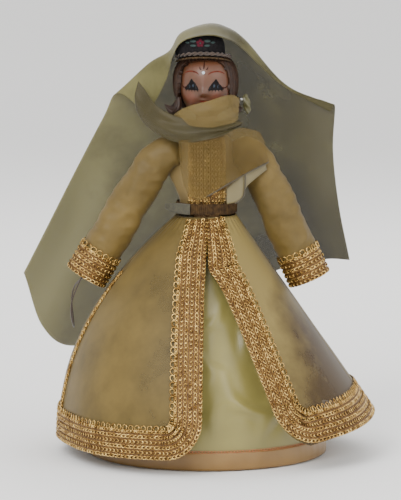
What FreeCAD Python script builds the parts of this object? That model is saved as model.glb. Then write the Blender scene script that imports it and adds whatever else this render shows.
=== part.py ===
"""Dressed puppet doll: a wooden core in a layered costume, with a turning head and two swinging arms.

Millimetres.  The origin is on the floor under the middle of the base disc, +Z is up, the doll faces -Y
and the doll's own left hand is at +X.  Angles around the doll start at the front and grow towards +X.
"""
import FreeCAD, Part
import math
import os
from FreeCAD import Vector

# ---- heights ----
WAIST_Z = 152.0
SHOULDER_ABOVE_WAIST = 40.0
TORSO_HEIGHT = 53.0
HEAD_ABOVE_TORSO = 27.0
SHOULDER_Z = WAIST_Z + SHOULDER_ABOVE_WAIST
TORSO_TOP_Z = WAIST_Z + TORSO_HEIGHT
HEAD_Z = TORSO_TOP_Z + HEAD_ABOVE_TORSO

# ---- torso and bodice ----
TORSO_HALF_WIDTH = 16.2
TORSO_HALF_DEPTH = 15.0
WAIST_NIP_X = 1.2
WAIST_NIP_Y = 1.8
SHOULDER_ROUNDING = 10
BODICE_TOP = 0.95
SIDE_SEAM = math.radians(89.0)
BODICE_BRAID_WIDTH = 14.0

# ---- foot, post and skirts ----
BASE_THICKNESS = 4.0
BASE_INSET = 2.0
POST_RADIUS = 8.0
POST_DEPTH_IN_TORSO = 12.0
BELL_BELOW_WAIST = 3.0
BELL_TOP_Z = WAIST_Z - BELL_BELOW_WAIST
BELL_FOOT_RADIUS = 75.0
BELL_TOP_RADIUS = TORSO_HALF_WIDTH - WAIST_NIP_X
SATIN = 0.5
NET = 0.8
LAYER_GAP = 0.4
GLUE_GAP = 0.1
FLOOR_GAP = 0.5
HEM_BINDING_HEIGHT = 12.0
STITCH_RADIUS = 0.4

# ---- neck and head ----
NECK_DOWEL_RADIUS = 3.0
NECK_RADIUS = 7.0
TURN_GAP = 0.8
RUNNING_CLEARANCE = 0.08
FACE_HALF_WIDTH = 16.5
FACE_HALF_DEPTH = 19.0
FACE_HALF_HEIGHT = 20.0
HAIR_HALF_WIDTH = 21.3
HAIR_HALF_HEIGHT = 22.0
HAIR_SETBACK = 2.0
HAIRLINE_HALF_WIDTH = 15.6
HAIRLINE_TOP = 16.5
CAP_RADIUS = 16.5
CAP_HEIGHT = 13.5
CAP_ABOVE_HEAD_CENTRE = 19.0
CAP_BASE_Z = HEAD_Z + CAP_ABOVE_HEAD_CENTRE
CAP_TRIM_RADIUS = 1.6
CHAIN_RADIUS = 0.9
JEWEL_RADIUS = 1.3

# ---- coat ----
COAT_WAIST_EASE = 1.0
COAT_WAIST_RADIUS = TORSO_HALF_WIDTH + COAT_WAIST_EASE
COAT_EASE_RIGHT = 18.0
COAT_EASE_LEFT = 31.0
COAT_HEM_RADIUS_RIGHT = BELL_FOOT_RADIUS + COAT_EASE_RIGHT
COAT_HEM_RADIUS_LEFT = BELL_FOOT_RADIUS + COAT_EASE_LEFT
COAT_FLARE_RIGHT = 2.2
COAT_FLARE_LEFT = 1.0
COAT_HEM_Z = 9.5
COAT_HEM_RISE = 15.0
ORGANZA = 0.4
BRAID = 1.1
BRAID_LIFT = 0.3
BRAID_WIDTH = 20.0
BRAID_WIDTH_AT_WAIST = 13.0
FRONT_GAP = math.radians(1.8)
OPENING_ANGLE = math.radians(29.0)
OPENING_START = 0.22
OPENING_SWING = 2.4
SLIT_ANGLE = math.radians(-82.0)
LEFT_SEAM_ANGLE = math.radians(88.0)
SEAM_GAP = math.radians(0.5)
SIDE_TRIM_WIDTH = 5.0

# ---- belt ----
BELT_EASE = 0.8
BELT_RADIUS = COAT_WAIST_RADIUS + BELT_EASE
BELT_HEIGHT = 7.0
BELT_THICKNESS = 0.9
BELT_LIFT = 0.4

# ---- arms ----
SLEEVE_RADIUS = 12.6
SHOULDER_TAPER = 2.6
ARM_DOME = SLEEVE_RADIUS - SHOULDER_TAPER
SHOULDER_GAP = 2.1
SHOULDER_X = TORSO_HALF_WIDTH + ARM_DOME + SHOULDER_GAP
CUFF_HEIGHT = 20.0
RIGHT_ARM_LENGTH = 94.0
RIGHT_CUFF_GAP = 2.4
LEFT_ARM_LENGTH = 90.0
LEFT_CUFF_GAP = 1.7
MOUTH_DEPTH = 22.0
ROD_RADIUS = 1.0
ROD_HOLE_GAP = 0.4
BEAD_RADIUS = 2.2
BEAD_LENGTH = 3.0

# ---- hand string ----
STRING_DIAMETER = 1.0
STRING_POINTS = [
    (-78.5, -4.0, 112.0), (-83.0, -5.0, 103.0), (-86.0, -3.0, 93.0), (-85.5, 3.0, 83.5), (-84.5, 12.0, 77.0),
    (-84.5, 22.5, 76.0), (-85.5, 31.0, 81.5), (-86.5, 34.0, 91.0), (-85.0, 29.5, 100.0), (-81.5, 20.5, 105.5),
    (-78.0, 11.0, 109.0), (-76.0, 3.0, 114.0),
]


def add(shapes, name, shape):
    """Keep one named piece."""
    shapes[name] = shape


def ellipsoid(half_x, half_y, half_z, centre):
    """A ball stretched to three half sizes."""
    stretch = FreeCAD.Matrix()
    stretch.scale(half_x, half_y, half_z)
    ball = Part.makeSphere(1.0).transformGeometry(stretch)
    ball.translate(centre)
    return ball


def offset_face(surface_point, columns, rows, offset):
    """A smooth face through points of surface_point(u, v), moved along its normal."""
    step = 1e-4
    grid = []
    for i in range(columns):
        line = []
        for j in range(rows):
            u = i / (columns - 1)
            v = j / (rows - 1)
            along_u = surface_point(u + step, v) - surface_point(u - step, v)
            along_v = surface_point(u, v + step) - surface_point(u, v - step)
            normal = along_v.cross(along_u).normalize()
            line.append(surface_point(u, v) + normal * offset)
        grid.append(line)
    surface = Part.BSplineSurface()
    surface.interpolate(grid)
    return surface.toShape()


def sheet_solid(surface_point, columns, rows, inner, outer):
    """A thin closed solid between two offsets of a surface: u runs to the right and v runs down."""
    face = offset_face(surface_point, columns, rows, inner)
    return face.makeOffsetShape(inner - outer, 1e-3, fill=True)


def smooth_curve(points):
    """A curve through points, read by a share of its length from 0 to 1."""
    curve = Part.BSplineCurve()
    curve.interpolate([Vector(*point) for point in points])
    first, last = curve.FirstParameter, curve.LastParameter

    def at(share):
        return curve.value(first + (last - first) * min(max(share, 0.0), 1.0))
    return at


def above(level, points):
    """The same points with a level added to their heights."""
    return [(x, y, z + level) for x, y, z in points]


def extended(surface_point):
    """The same surface with straight margins, so that normals exist on its borders."""
    def at(u, v):
        inside_u = min(max(u, 0.001), 0.999)
        inside_v = min(max(v, 0.001), 0.999)
        here = surface_point(inside_u, inside_v)
        slope_u = (surface_point(inside_u + 0.001, inside_v) - surface_point(inside_u - 0.001, inside_v)) * 500
        slope_v = (surface_point(inside_u, inside_v + 0.001) - surface_point(inside_u, inside_v - 0.001)) * 500
        return here + slope_u * (u - inside_u) + slope_v * (v - inside_v)
    return at


def revolved_wall(profile, axis_point, axis):
    """Turn a closed wire of edges around an axis."""
    face = Part.Face(Part.Wire(profile))
    return face.revolve(axis_point, axis, 360)


def bell_radius(z):
    """The underskirt's outer radius: a dome-shaped bell, steep near the floor and flat near the waist."""
    return BELL_TOP_RADIUS + (BELL_FOOT_RADIUS - BELL_TOP_RADIUS) * (1 - (z / BELL_TOP_Z) ** 2)


def bell_curve(offset, low_z, high_z):
    """A bell's outline between two heights, moved in or out."""
    count = 9
    points = []
    for i in range(count):
        z = low_z + (high_z - low_z) * i / (count - 1)
        points.append(Vector(bell_radius(z) + offset, 0, z))
    curve = Part.BSplineCurve()
    curve.interpolate(points)
    return curve.toShape(), points


def bell_wall(outer, inner, low_z, high_z):
    """A skirt layer between two offsets of the bell."""
    outside, out_points = bell_curve(outer, low_z, high_z)
    inside, in_points = bell_curve(inner, low_z, high_z)
    foot = Part.LineSegment(in_points[0], out_points[0]).toShape()
    top = Part.LineSegment(out_points[-1], in_points[-1]).toShape()
    return revolved_wall([foot, outside, top, inside], Vector(0, 0, 0), Vector(0, 0, 1))


def foot_and_skirts(shapes):
    """Base disc, post, wadding, petticoat, underskirt and its bound hem."""
    base_radius = BELL_FOOT_RADIUS - BASE_INSET
    add(shapes, "base_disc", Part.makeCylinder(base_radius, BASE_THICKNESS))
    post_top = WAIST_Z + POST_DEPTH_IN_TORSO
    post = Part.makeCylinder(POST_RADIUS, post_top - BASE_THICKNESS, Vector(0, 0, BASE_THICKNESS))
    add(shapes, "body_post", post)

    petticoat_outer = -SATIN - LAYER_GAP
    wadding_outer = petticoat_outer - NET - LAYER_GAP
    wadding_curve, points = bell_curve(wadding_outer, BASE_THICKNESS, BELL_TOP_Z - 2)
    centre_top = Vector(POST_RADIUS + GLUE_GAP, 0, points[-1].z)
    centre_foot = Vector(POST_RADIUS + GLUE_GAP, 0, BASE_THICKNESS)
    edges = [wadding_curve, Part.LineSegment(points[-1], centre_top).toShape(),
             Part.LineSegment(centre_top, centre_foot).toShape(),
             Part.LineSegment(centre_foot, points[0]).toShape()]
    add(shapes, "skirt_wadding", revolved_wall(edges, Vector(0, 0, 0), Vector(0, 0, 1)))
    petticoat_foot = BASE_THICKNESS + GLUE_GAP
    add(shapes, "petticoat", bell_wall(petticoat_outer, petticoat_outer - NET, petticoat_foot, BELL_TOP_Z - 1))
    add(shapes, "underskirt", bell_wall(0, -SATIN, FLOOR_GAP, BELL_TOP_Z))

    binding_inner = GLUE_GAP
    binding = bell_wall(binding_inner + SATIN, binding_inner, FLOOR_GAP, HEM_BINDING_HEIGHT)
    add(shapes, "underskirt_hem", binding)
    stitch_z = HEM_BINDING_HEIGHT + STITCH_RADIUS + GLUE_GAP
    stitch_ring = bell_radius(stitch_z) + STITCH_RADIUS + 2 * GLUE_GAP
    add(shapes, "hem_stitching", Part.makeTorus(stitch_ring, STITCH_RADIUS, Vector(0, 0, stitch_z)))


def torso_share(z):
    """How far up the torso a height is, from 0 at the waist to 1 at its top."""
    return (z - WAIST_Z) / (TORSO_TOP_Z - WAIST_Z)


def torso_half_sizes(share):
    """The torso's half width and half depth: nipped at the waist and rounded off at the shoulders."""
    rounding = math.sqrt(max(1 - share ** SHOULDER_ROUNDING, 0.0))
    nip = (1 - share) ** 2
    return TORSO_HALF_WIDTH * rounding - WAIST_NIP_X * nip, TORSO_HALF_DEPTH * rounding - WAIST_NIP_Y * nip


def ellipse_wire(half_x, half_y, z):
    """A level ellipse around the Z axis."""
    if half_x >= half_y:
        curve = Part.Ellipse(Vector(half_x, 0, z), Vector(0, half_y, z), Vector(0, 0, z))
    else:
        curve = Part.Ellipse(Vector(0, half_y, z), Vector(-half_x, 0, z), Vector(0, 0, z))
    return Part.Wire(curve.toShape())


def torso_block():
    """The carved torso, bored for the post, the neck dowel and the shoulder rod."""
    wires = []
    for share in (0.0, 0.25, 0.5, 0.7, 0.82, 0.9, 0.95):
        half_x, half_y = torso_half_sizes(share)
        z = WAIST_Z + share * (TORSO_TOP_Z - WAIST_Z)
        wires.append(ellipse_wire(half_x, half_y, z))
    block = Part.makeLoft(wires, True, False)
    post_hole = Part.makeCylinder(POST_RADIUS + GLUE_GAP, POST_DEPTH_IN_TORSO + GLUE_GAP, Vector(0, 0, WAIST_Z))
    neck_hole = Part.makeCylinder(NECK_DOWEL_RADIUS, TORSO_TOP_Z, Vector(0, 0, SHOULDER_Z + 2 * ROD_RADIUS))
    rod_hole = Part.makeCylinder(ROD_RADIUS, 4 * TORSO_HALF_WIDTH,
                                 Vector(-2 * TORSO_HALF_WIDTH, 0, SHOULDER_Z), Vector(1, 0, 0))
    return block.cut(post_hole).cut(neck_hole).cut(rod_hole)


def bodice_point(angle, share):
    """A point on the torso's own surface."""
    half_x, half_y = torso_half_sizes(share)
    z = WAIST_Z + share * (TORSO_TOP_Z - WAIST_Z)
    return Vector(half_x * math.sin(angle), -half_y * math.cos(angle), z)


def bodice_piece(angle_from, angle_to):
    """Half of the bodice, from the neck opening down to the waist."""
    def at(u, v):
        angle = angle_from + (angle_to - angle_from) * u
        return bodice_point(angle, BODICE_TOP * (1 - v))
    return sheet_solid(at, 13, 13, LAYER_GAP, LAYER_GAP + ORGANZA)


def bodice_braid(side):
    """One of the two braids that run side by side down the chest."""
    lift = 2 * LAYER_GAP + ORGANZA
    middle_gap = 0.2
    low = torso_share(WAIST_Z + 0.5)

    def at(u, v):
        share = low + (0.9 - low) * (1 - v)
        half_x = torso_half_sizes(share)[0]
        across = u if side > 0 else u - 1
        angle = (across * BODICE_BRAID_WIDTH + side * middle_gap) / half_x
        return bodice_point(angle, share)
    return sheet_solid(at, 7, 11, lift, lift + BRAID)


def torso_pieces(shapes):
    """Torso block, neck dowel, shoulder rod with its beads, and the bodice."""
    add(shapes, "torso_block", torso_block())
    dowel_foot = SHOULDER_Z + 2 * ROD_RADIUS
    dowel = Part.makeCylinder(NECK_DOWEL_RADIUS, HEAD_Z - 6 - dowel_foot, Vector(0, 0, dowel_foot))
    add(shapes, "neck_dowel", dowel)

    rod_half = SHOULDER_X + BEAD_LENGTH + 2.7
    rod = Part.makeCylinder(ROD_RADIUS, 2 * rod_half, Vector(-rod_half, 0, SHOULDER_Z), Vector(1, 0, 0))
    add(shapes, "shoulder_rod", rod)
    for name, side in (("right", -1), ("left", 1)):
        start = Vector(side * (rod_half - BEAD_LENGTH), 0, SHOULDER_Z)
        bead = Part.makeCylinder(BEAD_RADIUS, BEAD_LENGTH, start, Vector(side, 0, 0))
        add(shapes, "rod_bead_" + name, bead.cut(rod))

    rod_passage = Part.makeCylinder(ROD_RADIUS + ROD_HOLE_GAP, 2 * rod_half,
                                    Vector(-rod_half, 0, SHOULDER_Z), Vector(1, 0, 0))
    add(shapes, "bodice_front", bodice_piece(-SIDE_SEAM, SIDE_SEAM).cut(rod_passage))
    add(shapes, "bodice_back", bodice_piece(math.pi - SIDE_SEAM, math.pi + SIDE_SEAM).cut(rod_passage))
    add(shapes, "bodice_braid_right", bodice_braid(-1))
    add(shapes, "bodice_braid_left", bodice_braid(1))


def belt_pieces(shapes):
    """The ribbed belt and its loose tapered end."""
    low = WAIST_Z + BELT_LIFT
    outside = Part.makeCylinder(BELT_RADIUS + BELT_THICKNESS, BELT_HEIGHT, Vector(0, 0, low))
    inside = Part.makeCylinder(BELT_RADIUS, BELT_HEIGHT, Vector(0, 0, low))
    add(shapes, "belt", outside.cut(inside))

    def at(u, v):
        angle = math.radians(-78 + 44 * u)
        height = BELT_HEIGHT * (0.45 + 0.5 * u)
        radius = BELT_RADIUS + BELT_THICKNESS
        return Vector(radius * math.sin(angle), -radius * math.cos(angle), low + BELT_HEIGHT / 2 + height * (0.5 - v))
    add(shapes, "belt_end", sheet_solid(at, 7, 4, GLUE_GAP, GLUE_GAP + SATIN))


def left_share(angle):
    """0 on the doll's right side, 1 on its left side."""
    return (1 + math.sin(angle)) / 2


def hem_height(angle):
    """The coat's hem lifts towards the doll's left side."""
    return COAT_HEM_Z + COAT_HEM_RISE * left_share(angle) ** 2.5


def coat_point(angle, drop):
    """A point on the coat: drop is 0 at the waist and 1 at the hem."""
    side = left_share(angle)
    flare = COAT_FLARE_RIGHT + (COAT_FLARE_LEFT - COAT_FLARE_RIGHT) * side
    hem_radius = COAT_HEM_RADIUS_RIGHT + (COAT_HEM_RADIUS_LEFT - COAT_HEM_RADIUS_RIGHT) * side
    spread = 1 - max(1 - drop, 0.0) ** flare
    radius = COAT_WAIST_RADIUS + (hem_radius - COAT_WAIST_RADIUS) * spread
    z = WAIST_Z - drop * (WAIST_Z - hem_height(angle))
    return Vector(radius * math.sin(angle), -radius * math.cos(angle), z)


def coat_radius(angle, drop):
    """How far the coat stands from the axis."""
    point = coat_point(angle, drop)
    return math.hypot(point.x, point.y)


def left_front_edge(drop):
    """The left panel's front edge swings away from the middle below the opening's apex."""
    below = max(drop - OPENING_START, 0.0) / (1 - OPENING_START)
    swing = (1 - math.exp(-OPENING_SWING * below)) / (1 - math.exp(-OPENING_SWING))
    return FRONT_GAP + OPENING_ANGLE * swing


def right_front_edge(_drop):
    """The right panel's front edge hangs straight down the middle."""
    return -FRONT_GAP


def braid_angle(drop, angle):
    """The angle that the front braid spans at one height."""
    widening = min(drop / OPENING_START, 1.0)
    width = BRAID_WIDTH_AT_WAIST + (BRAID_WIDTH - BRAID_WIDTH_AT_WAIST) * widening
    return width / coat_radius(angle, drop)


def strip_on_coat(from_angle, to_angle, from_drop, to_drop, columns, rows, inner, outer):
    """A sheet on the coat between two angles, which may change with the drop."""
    def at(u, v):
        drop = from_drop + (to_drop - from_drop) * v
        start = from_angle(drop)
        return coat_point(start + (to_angle(drop) - start) * u, drop)
    return sheet_solid(extended(at), columns, rows, inner, outer)


def fixed(angle):
    """An angle that stays the same all the way down."""
    return lambda _drop: angle


def hem_band_start():
    """Where the hem braid's top edge lies, as a drop."""
    return 1 - BRAID_WIDTH / (WAIST_Z - COAT_HEM_Z)


def coat_pieces(shapes):
    """Two front panels, the back, and every braid on them."""
    slit = fixed(SLIT_ANGLE)
    left_seam = fixed(LEFT_SEAM_ANGLE)
    back_from = fixed(LEFT_SEAM_ANGLE + SEAM_GAP)
    back_to = fixed(2 * math.pi + SLIT_ANGLE - SEAM_GAP)
    add(shapes, "coat_panel_right", strip_on_coat(slit, right_front_edge, 0, 1, 9, 12, 0, ORGANZA))
    add(shapes, "coat_panel_left", strip_on_coat(left_front_edge, left_seam, 0, 1, 9, 20, 0, ORGANZA))
    add(shapes, "coat_back", strip_on_coat(back_from, back_to, 0, 1, 17, 12, 0, ORGANZA))

    lift = ORGANZA + BRAID_LIFT
    top = 0.05

    def right_inner(drop):
        return right_front_edge(drop) - braid_angle(drop, -FRONT_GAP)

    def left_inner(drop):
        edge = left_front_edge(drop)
        return edge + braid_angle(drop, edge)

    def right_hem_end(drop):
        return right_inner(drop) - SEAM_GAP

    def left_hem_end(drop):
        return left_inner(drop) + SEAM_GAP

    add(shapes, "front_braid_right",
        strip_on_coat(right_inner, right_front_edge, top, 1, 5, 14, lift, lift + BRAID))
    add(shapes, "front_braid_left",
        strip_on_coat(left_front_edge, left_inner, top, 1, 5, 20, lift, lift + BRAID))
    band = hem_band_start()
    add(shapes, "hem_braid_right", strip_on_coat(slit, right_hem_end, band, 1, 9, 5, lift, lift + BRAID))
    add(shapes, "hem_braid_left", strip_on_coat(left_hem_end, left_seam, band, 1, 9, 5, lift, lift + BRAID))
    add(shapes, "hem_braid_back", strip_on_coat(back_from, back_to, band, 1, 17, 5, lift, lift + BRAID))

    def trim_edge(drop):
        return SLIT_ANGLE + SIDE_TRIM_WIDTH / coat_radius(SLIT_ANGLE, drop)
    add(shapes, "side_trim", strip_on_coat(slit, trim_edge, 0.27, band - 0.01, 4, 10, lift, lift + BRAID))


def sleeve_outline(length):
    """Sleeve radius at a few places along the arm, from the shoulder centre to the cuff's mouth."""
    return [(0.0, ARM_DOME), (0.2 * length, ARM_DOME + 1.6), (0.5 * length, SLEEVE_RADIUS),
            (length - CUFF_HEIGHT, SLEEVE_RADIUS - 0.6), (length, SLEEVE_RADIUS - 0.3)]


def arm_layer(length, outer, wall, end, side, angle):
    """A domed layer of the arm: outer is its offset from the sleeve's outside, wall None makes it solid."""
    def outline(offset):
        dome = ARM_DOME + offset
        points = [Vector(radius + offset, 0, -along) for along, radius in sleeve_outline(length)]
        curve = Part.BSplineCurve()
        curve.interpolate(Points=points, InitialTangent=Vector(0, 0, -1), FinalTangent=Vector(0, 0, -1))
        half = math.sqrt(0.5) * dome
        arc = Part.Arc(Vector(0, 0, dome), Vector(half, 0, half), Vector(dome, 0, 0))
        return [arc.toShape(), curve.toShape()], points[-1]

    outside, mouth = outline(outer)
    if wall is None:
        foot = Vector(0, 0, mouth.z)
        closing = [Part.LineSegment(mouth, foot).toShape(),
                   Part.LineSegment(foot, Vector(0, 0, ARM_DOME + outer)).toShape()]
        edges = outside + closing
    else:
        inside, inner_mouth = outline(outer - wall)
        crown = Part.LineSegment(Vector(0, 0, ARM_DOME + outer - wall), Vector(0, 0, ARM_DOME + outer)).toShape()
        edges = outside + [Part.LineSegment(mouth, inner_mouth).toShape()] + inside[::-1] + [crown]
    layer = revolved_wall(Part.__sortEdges__(edges), Vector(0, 0, 0), Vector(0, 0, 1))
    reach = length - end
    if reach > 0:
        wide = 2 * SLEEVE_RADIUS
        layer = layer.cut(Part.makeCylinder(wide, length, Vector(0, 0, -end - length)))
    return place_on_arm(layer, side, angle)


def place_on_arm(shape, side, angle):
    """Tilt a piece that hangs straight down out to one side and carry it to the shoulder."""
    shape.rotate(Vector(0, 0, 0), Vector(0, 1, 0), -side * math.degrees(angle))
    shape.translate(Vector(side * SHOULDER_X, 0, SHOULDER_Z))
    return shape


def cuff_braid(length, side, angle):
    """The braid around the sleeve's end, as a short sleeve of its own."""
    inner = SLEEVE_RADIUS + GLUE_GAP
    height = CUFF_HEIGHT
    outside = Part.makeCylinder(inner + BRAID, height, Vector(0, 0, -length))
    inside = Part.makeCylinder(inner, height, Vector(0, 0, -length))
    return place_on_arm(outside.cut(inside), side, angle)


def held_out(length, side, gap):
    """The angle at which an arm hangs: its cuff's inner corner stays a gap away from the coat."""
    corner_radius = SLEEVE_RADIUS + GLUE_GAP + BRAID
    towards = side * math.pi / 2
    angle = 0.0
    clear = False
    while not clear:
        angle += math.radians(0.1)
        x = SHOULDER_X + length * math.sin(angle) - corner_radius * math.cos(angle)
        z = SHOULDER_Z - length * math.cos(angle) - corner_radius * math.sin(angle)
        drop = (WAIST_Z - z) / (WAIST_Z - hem_height(towards))
        clear = x - coat_radius(towards, max(drop, 0.0)) >= gap
    return angle


def rod_cut(side, radius, start, length):
    """A round passage along the shoulder rod."""
    return Part.makeCylinder(radius, length, Vector(side * start, 0, SHOULDER_Z), Vector(side, 0, 0))


def arm_pieces(shapes, name, side, length, angle):
    """Stuffed arm, lining, sleeve and cuff on one side, all threaded on the shoulder rod."""
    lining_outer = -ORGANZA - LAYER_GAP
    core_outer = lining_outer - SATIN - LAYER_GAP
    core = arm_layer(length, core_outer, None, length - MOUTH_DEPTH, side, angle)
    bead_start = SHOULDER_X + 2.7 - ROD_HOLE_GAP
    core = core.cut(rod_cut(side, ROD_RADIUS + RUNNING_CLEARANCE, 0, bead_start + 1))
    core = core.cut(rod_cut(side, BEAD_RADIUS + ROD_HOLE_GAP, bead_start, 2 * ARM_DOME))
    add(shapes, "arm_" + name, core)
    passage = rod_cut(side, ROD_RADIUS + ROD_HOLE_GAP, 0, SHOULDER_X)
    lining = arm_layer(length, lining_outer, SATIN, length, side, angle).cut(passage)
    add(shapes, "sleeve_lining_" + name, lining)
    sleeve = arm_layer(length, 0.0, ORGANZA, length, side, angle).cut(passage)
    add(shapes, "sleeve_" + name, sleeve)
    add(shapes, "cuff_braid_" + name, cuff_braid(length, side, angle))


def cord_tube(points, diameter):
    """A round tube along straight runs joined by tangent arcs."""
    corners = [Vector(*point) for point in points]
    edges = []
    radii = []
    start = corners[0]
    for before, corner, after in zip(corners, corners[1:], corners[2:]):
        back = (before - corner).normalize()
        ahead = (after - corner).normalize()
        turn = math.pi - back.getAngle(ahead)
        run = min((before - corner).Length, (after - corner).Length)
        reach = 0.45 * run
        radius = reach / math.tan(turn / 2)
        radii.append(radius)
        enter = corner + back * reach
        leave = corner + ahead * reach
        middle_way = (back + ahead).normalize()
        centre = corner + middle_way * math.hypot(radius, reach)
        middle = centre - middle_way * radius
        edges.append(Part.LineSegment(start, enter).toShape())
        edges.append(Part.Arc(enter, middle, leave).toShape())
        start = leave
    edges.append(Part.LineSegment(start, corners[-1]).toShape())
    path = Part.Wire(edges)
    circle = Part.Circle(corners[0], corners[1] - corners[0], diameter / 2).toShape()
    tube = path.makePipeShell([Part.Wire(circle)], True, True)
    expected = math.pi * diameter ** 2 / 4 * path.Length
    print("string length", round(path.Length, 1), "volume share", round(tube.Volume / expected, 3))
    print("string bend radii", [round(radius, 1) for radius in radii])
    return tube


def head_pieces(shapes):
    """Head, hair and cap with everything fixed to them."""
    centre = Vector(0, 0, HEAD_Z)
    face = ellipsoid(FACE_HALF_WIDTH, FACE_HALF_DEPTH, FACE_HALF_HEIGHT, centre)
    neck_foot = WAIST_Z + 0.95 * (TORSO_TOP_Z - WAIST_Z) + TURN_GAP
    neck = Part.makeCylinder(NECK_RADIUS, HEAD_Z - neck_foot, Vector(0, 0, neck_foot))
    bore_top = HEAD_Z - 6 + TURN_GAP
    bore = Part.makeCylinder(NECK_DOWEL_RADIUS + RUNNING_CLEARANCE, bore_top - neck_foot, Vector(0, 0, neck_foot))
    add(shapes, "head", face.fuse(neck).cut(bore))

    hair_body = hair_shell(centre)
    pin_shaft, pin_head = veil_pin()
    add(shapes, "hair", hair_body.cut(pin_shaft))
    add(shapes, "veil_pin", pin_shaft.fuse(pin_head))
    cap_pieces(shapes, hair_body)

    jewel_y = -FACE_HALF_DEPTH * math.sqrt(1 - (11.0 / FACE_HALF_HEIGHT) ** 2)
    seat = Vector(0, jewel_y + 1.2, HEAD_Z + 11)
    jewel = Part.makeCone(JEWEL_RADIUS, 0.5 * JEWEL_RADIUS, 2.4, seat, Vector(0, -1, 0.5))
    add(shapes, "forehead_jewel", jewel.cut(face))
    add(shapes, "face_veil", face_veil())
    twist = ellipsoid(2.3, 2.3, 6.5, Vector(25.4, -3.0, HEAD_Z - 13))
    add(shapes, "veil_twist", twist)


def hair_shell(centre):
    """Moulded hair around the head, open at the face, with a flip curling out on each side."""
    back = centre + Vector(0, HAIR_SETBACK, 1)
    mass = ellipsoid(HAIR_HALF_WIDTH, HAIR_HALF_WIDTH, HAIR_HALF_HEIGHT, back)
    right_flip = ellipsoid(8.0, 4.5, 4.0, Vector(-18.8, -3.0, HEAD_Z - 10.5))
    left_flip = ellipsoid(5.5, 4.5, 4.0, Vector(17.0, -3.0, HEAD_Z - 11.5))
    mass = mass.fuse(right_flip).fuse(left_flip)
    skin = ellipsoid(FACE_HALF_WIDTH + GLUE_GAP, FACE_HALF_DEPTH + GLUE_GAP, FACE_HALF_HEIGHT + GLUE_GAP, centre)
    window = ellipsoid(HAIRLINE_HALF_WIDTH, 3 * HAIR_HALF_WIDTH, 2 * HAIRLINE_TOP,
                       Vector(0, -3 * HAIR_HALF_WIDTH, HEAD_Z - HAIRLINE_TOP))
    below = Part.makeBox(80, 80, 40, Vector(-40, -40, HEAD_Z - 16 - 40))
    return mass.cut(skin).cut(window).cut(below)


def veil_pin():
    """A ball-headed pin through the veil's end into the hair at the doll's left temple."""
    tip = Vector(17.0, 4.0, HEAD_Z - 5.0)
    head = Vector(21.5, -12.5, HEAD_Z - 7.0)
    shaft = Part.makeCylinder(0.35, (head - tip).Length, tip, head - tip)
    return shaft, Part.makeSphere(1.0, head)


def cap_pieces(shapes, hair_body):
    """The stiff round cap, its rolled trim, its flower and the chain along the hairline."""
    clear_hair = ellipsoid(HAIR_HALF_WIDTH + GLUE_GAP, HAIR_HALF_WIDTH + GLUE_GAP, HAIR_HALF_HEIGHT + GLUE_GAP,
                           Vector(0, HAIR_SETBACK, HEAD_Z + 1))
    middle = Vector(0, 0, CAP_BASE_Z)
    drum = Part.makeCone(CAP_RADIUS, CAP_RADIUS - 1.5, CAP_HEIGHT, middle)
    drum = drum.makeFillet(3.0, [drum.Edges[0]])
    cap = drum.cut(clear_hair)
    add(shapes, "cap", cap)

    trim = Part.makeTorus(CAP_RADIUS + 0.5 * CAP_TRIM_RADIUS, CAP_TRIM_RADIUS, middle + Vector(0, 0, 1.2))
    add(shapes, "cap_trim", trim.cut(clear_hair).cut(drum))

    chain_z = CAP_BASE_Z - CHAIN_RADIUS - 1.5
    rise = (chain_z - HEAD_Z - 1) / HAIR_HALF_HEIGHT
    chain_ring = HAIR_HALF_WIDTH * math.sqrt(1 - rise ** 2) + CHAIN_RADIUS + 2 * GLUE_GAP
    chain = Part.makeTorus(chain_ring, CHAIN_RADIUS, Vector(0, HAIR_SETBACK, chain_z))
    front = Part.makeBox(60, 30, 10, Vector(-30, -34, chain_z - 5))
    add(shapes, "hairline_chain", chain.common(front).cut(clear_hair))

    petals = []
    flower_z = CAP_BASE_Z + 8.0
    for across, up, half_x, half_z in ((0, 0, 1.9, 1.9), (-4.6, 1.2, 2.3, 1.2), (4.6, 1.2, 2.3, 1.2),
                                       (-4.4, -1.8, 2.1, 1.0), (4.4, -1.8, 2.1, 1.0)):
        surface_y = -math.sqrt((CAP_RADIUS - 0.9) ** 2 - across ** 2)
        petals.append(ellipsoid(half_x, 1.2, half_z, Vector(across, surface_y, flower_z + up)).cut(drum))
    add(shapes, "cap_embroidery", Part.makeCompound(petals))


def face_veil():
    """The short veil that curves in front of the lower face."""
    upper = smooth_curve(above(HEAD_Z, [(-19.5, -13.5, -10), (-10.5, -22.5, -7), (0, -25.5, -5),
                                        (10.5, -22.5, -3.5), (19.0, -13.5, -2.5)]))
    lower = smooth_curve(above(HEAD_Z, [(-17.5, -13.5, -18), (-10.5, -22.0, -23), (0, -25.0, -25),
                                        (10.5, -22.5, -25.5), (19.0, -14.0, -24.5)]))

    def at(u, v):
        bulge = Vector(0, -1.2 * math.sin(math.pi * min(max(v, 0), 1)), 0)
        return upper(u) * (1 - v) + lower(u) * v + bulge
    return sheet_solid(extended(at), 9, 6, 0, ORGANZA)


def neck_scarf():
    """The scarf: a free end beside the hair, round the front of the neck and over the left shoulder."""
    upper = smooth_curve(above(SHOULDER_Z, [(-45, 0, 46), (-34, -12, 32), (-17, -25, 19.5), (0, -30, 16),
                                            (17, -27, 16), (33, -ARM_DOME, 15)]))
    lower = smooth_curve(above(SHOULDER_Z, [(-35, -5, 19), (-31, -17, 8), (-16, -25, -16), (-3, -22, -30),
                                            (20, -23, -19), (41, -SLEEVE_RADIUS - LAYER_GAP, -9)]))

    def at(u, v):
        bulge = Vector(0, -2.5 * math.sin(math.pi * min(max(v, 0), 1)), 0)
        return upper(u) * (1 - v) + lower(u) * v + bulge
    return sheet_solid(extended(at), 13, 6, 0, 2 * ORGANZA)


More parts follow.
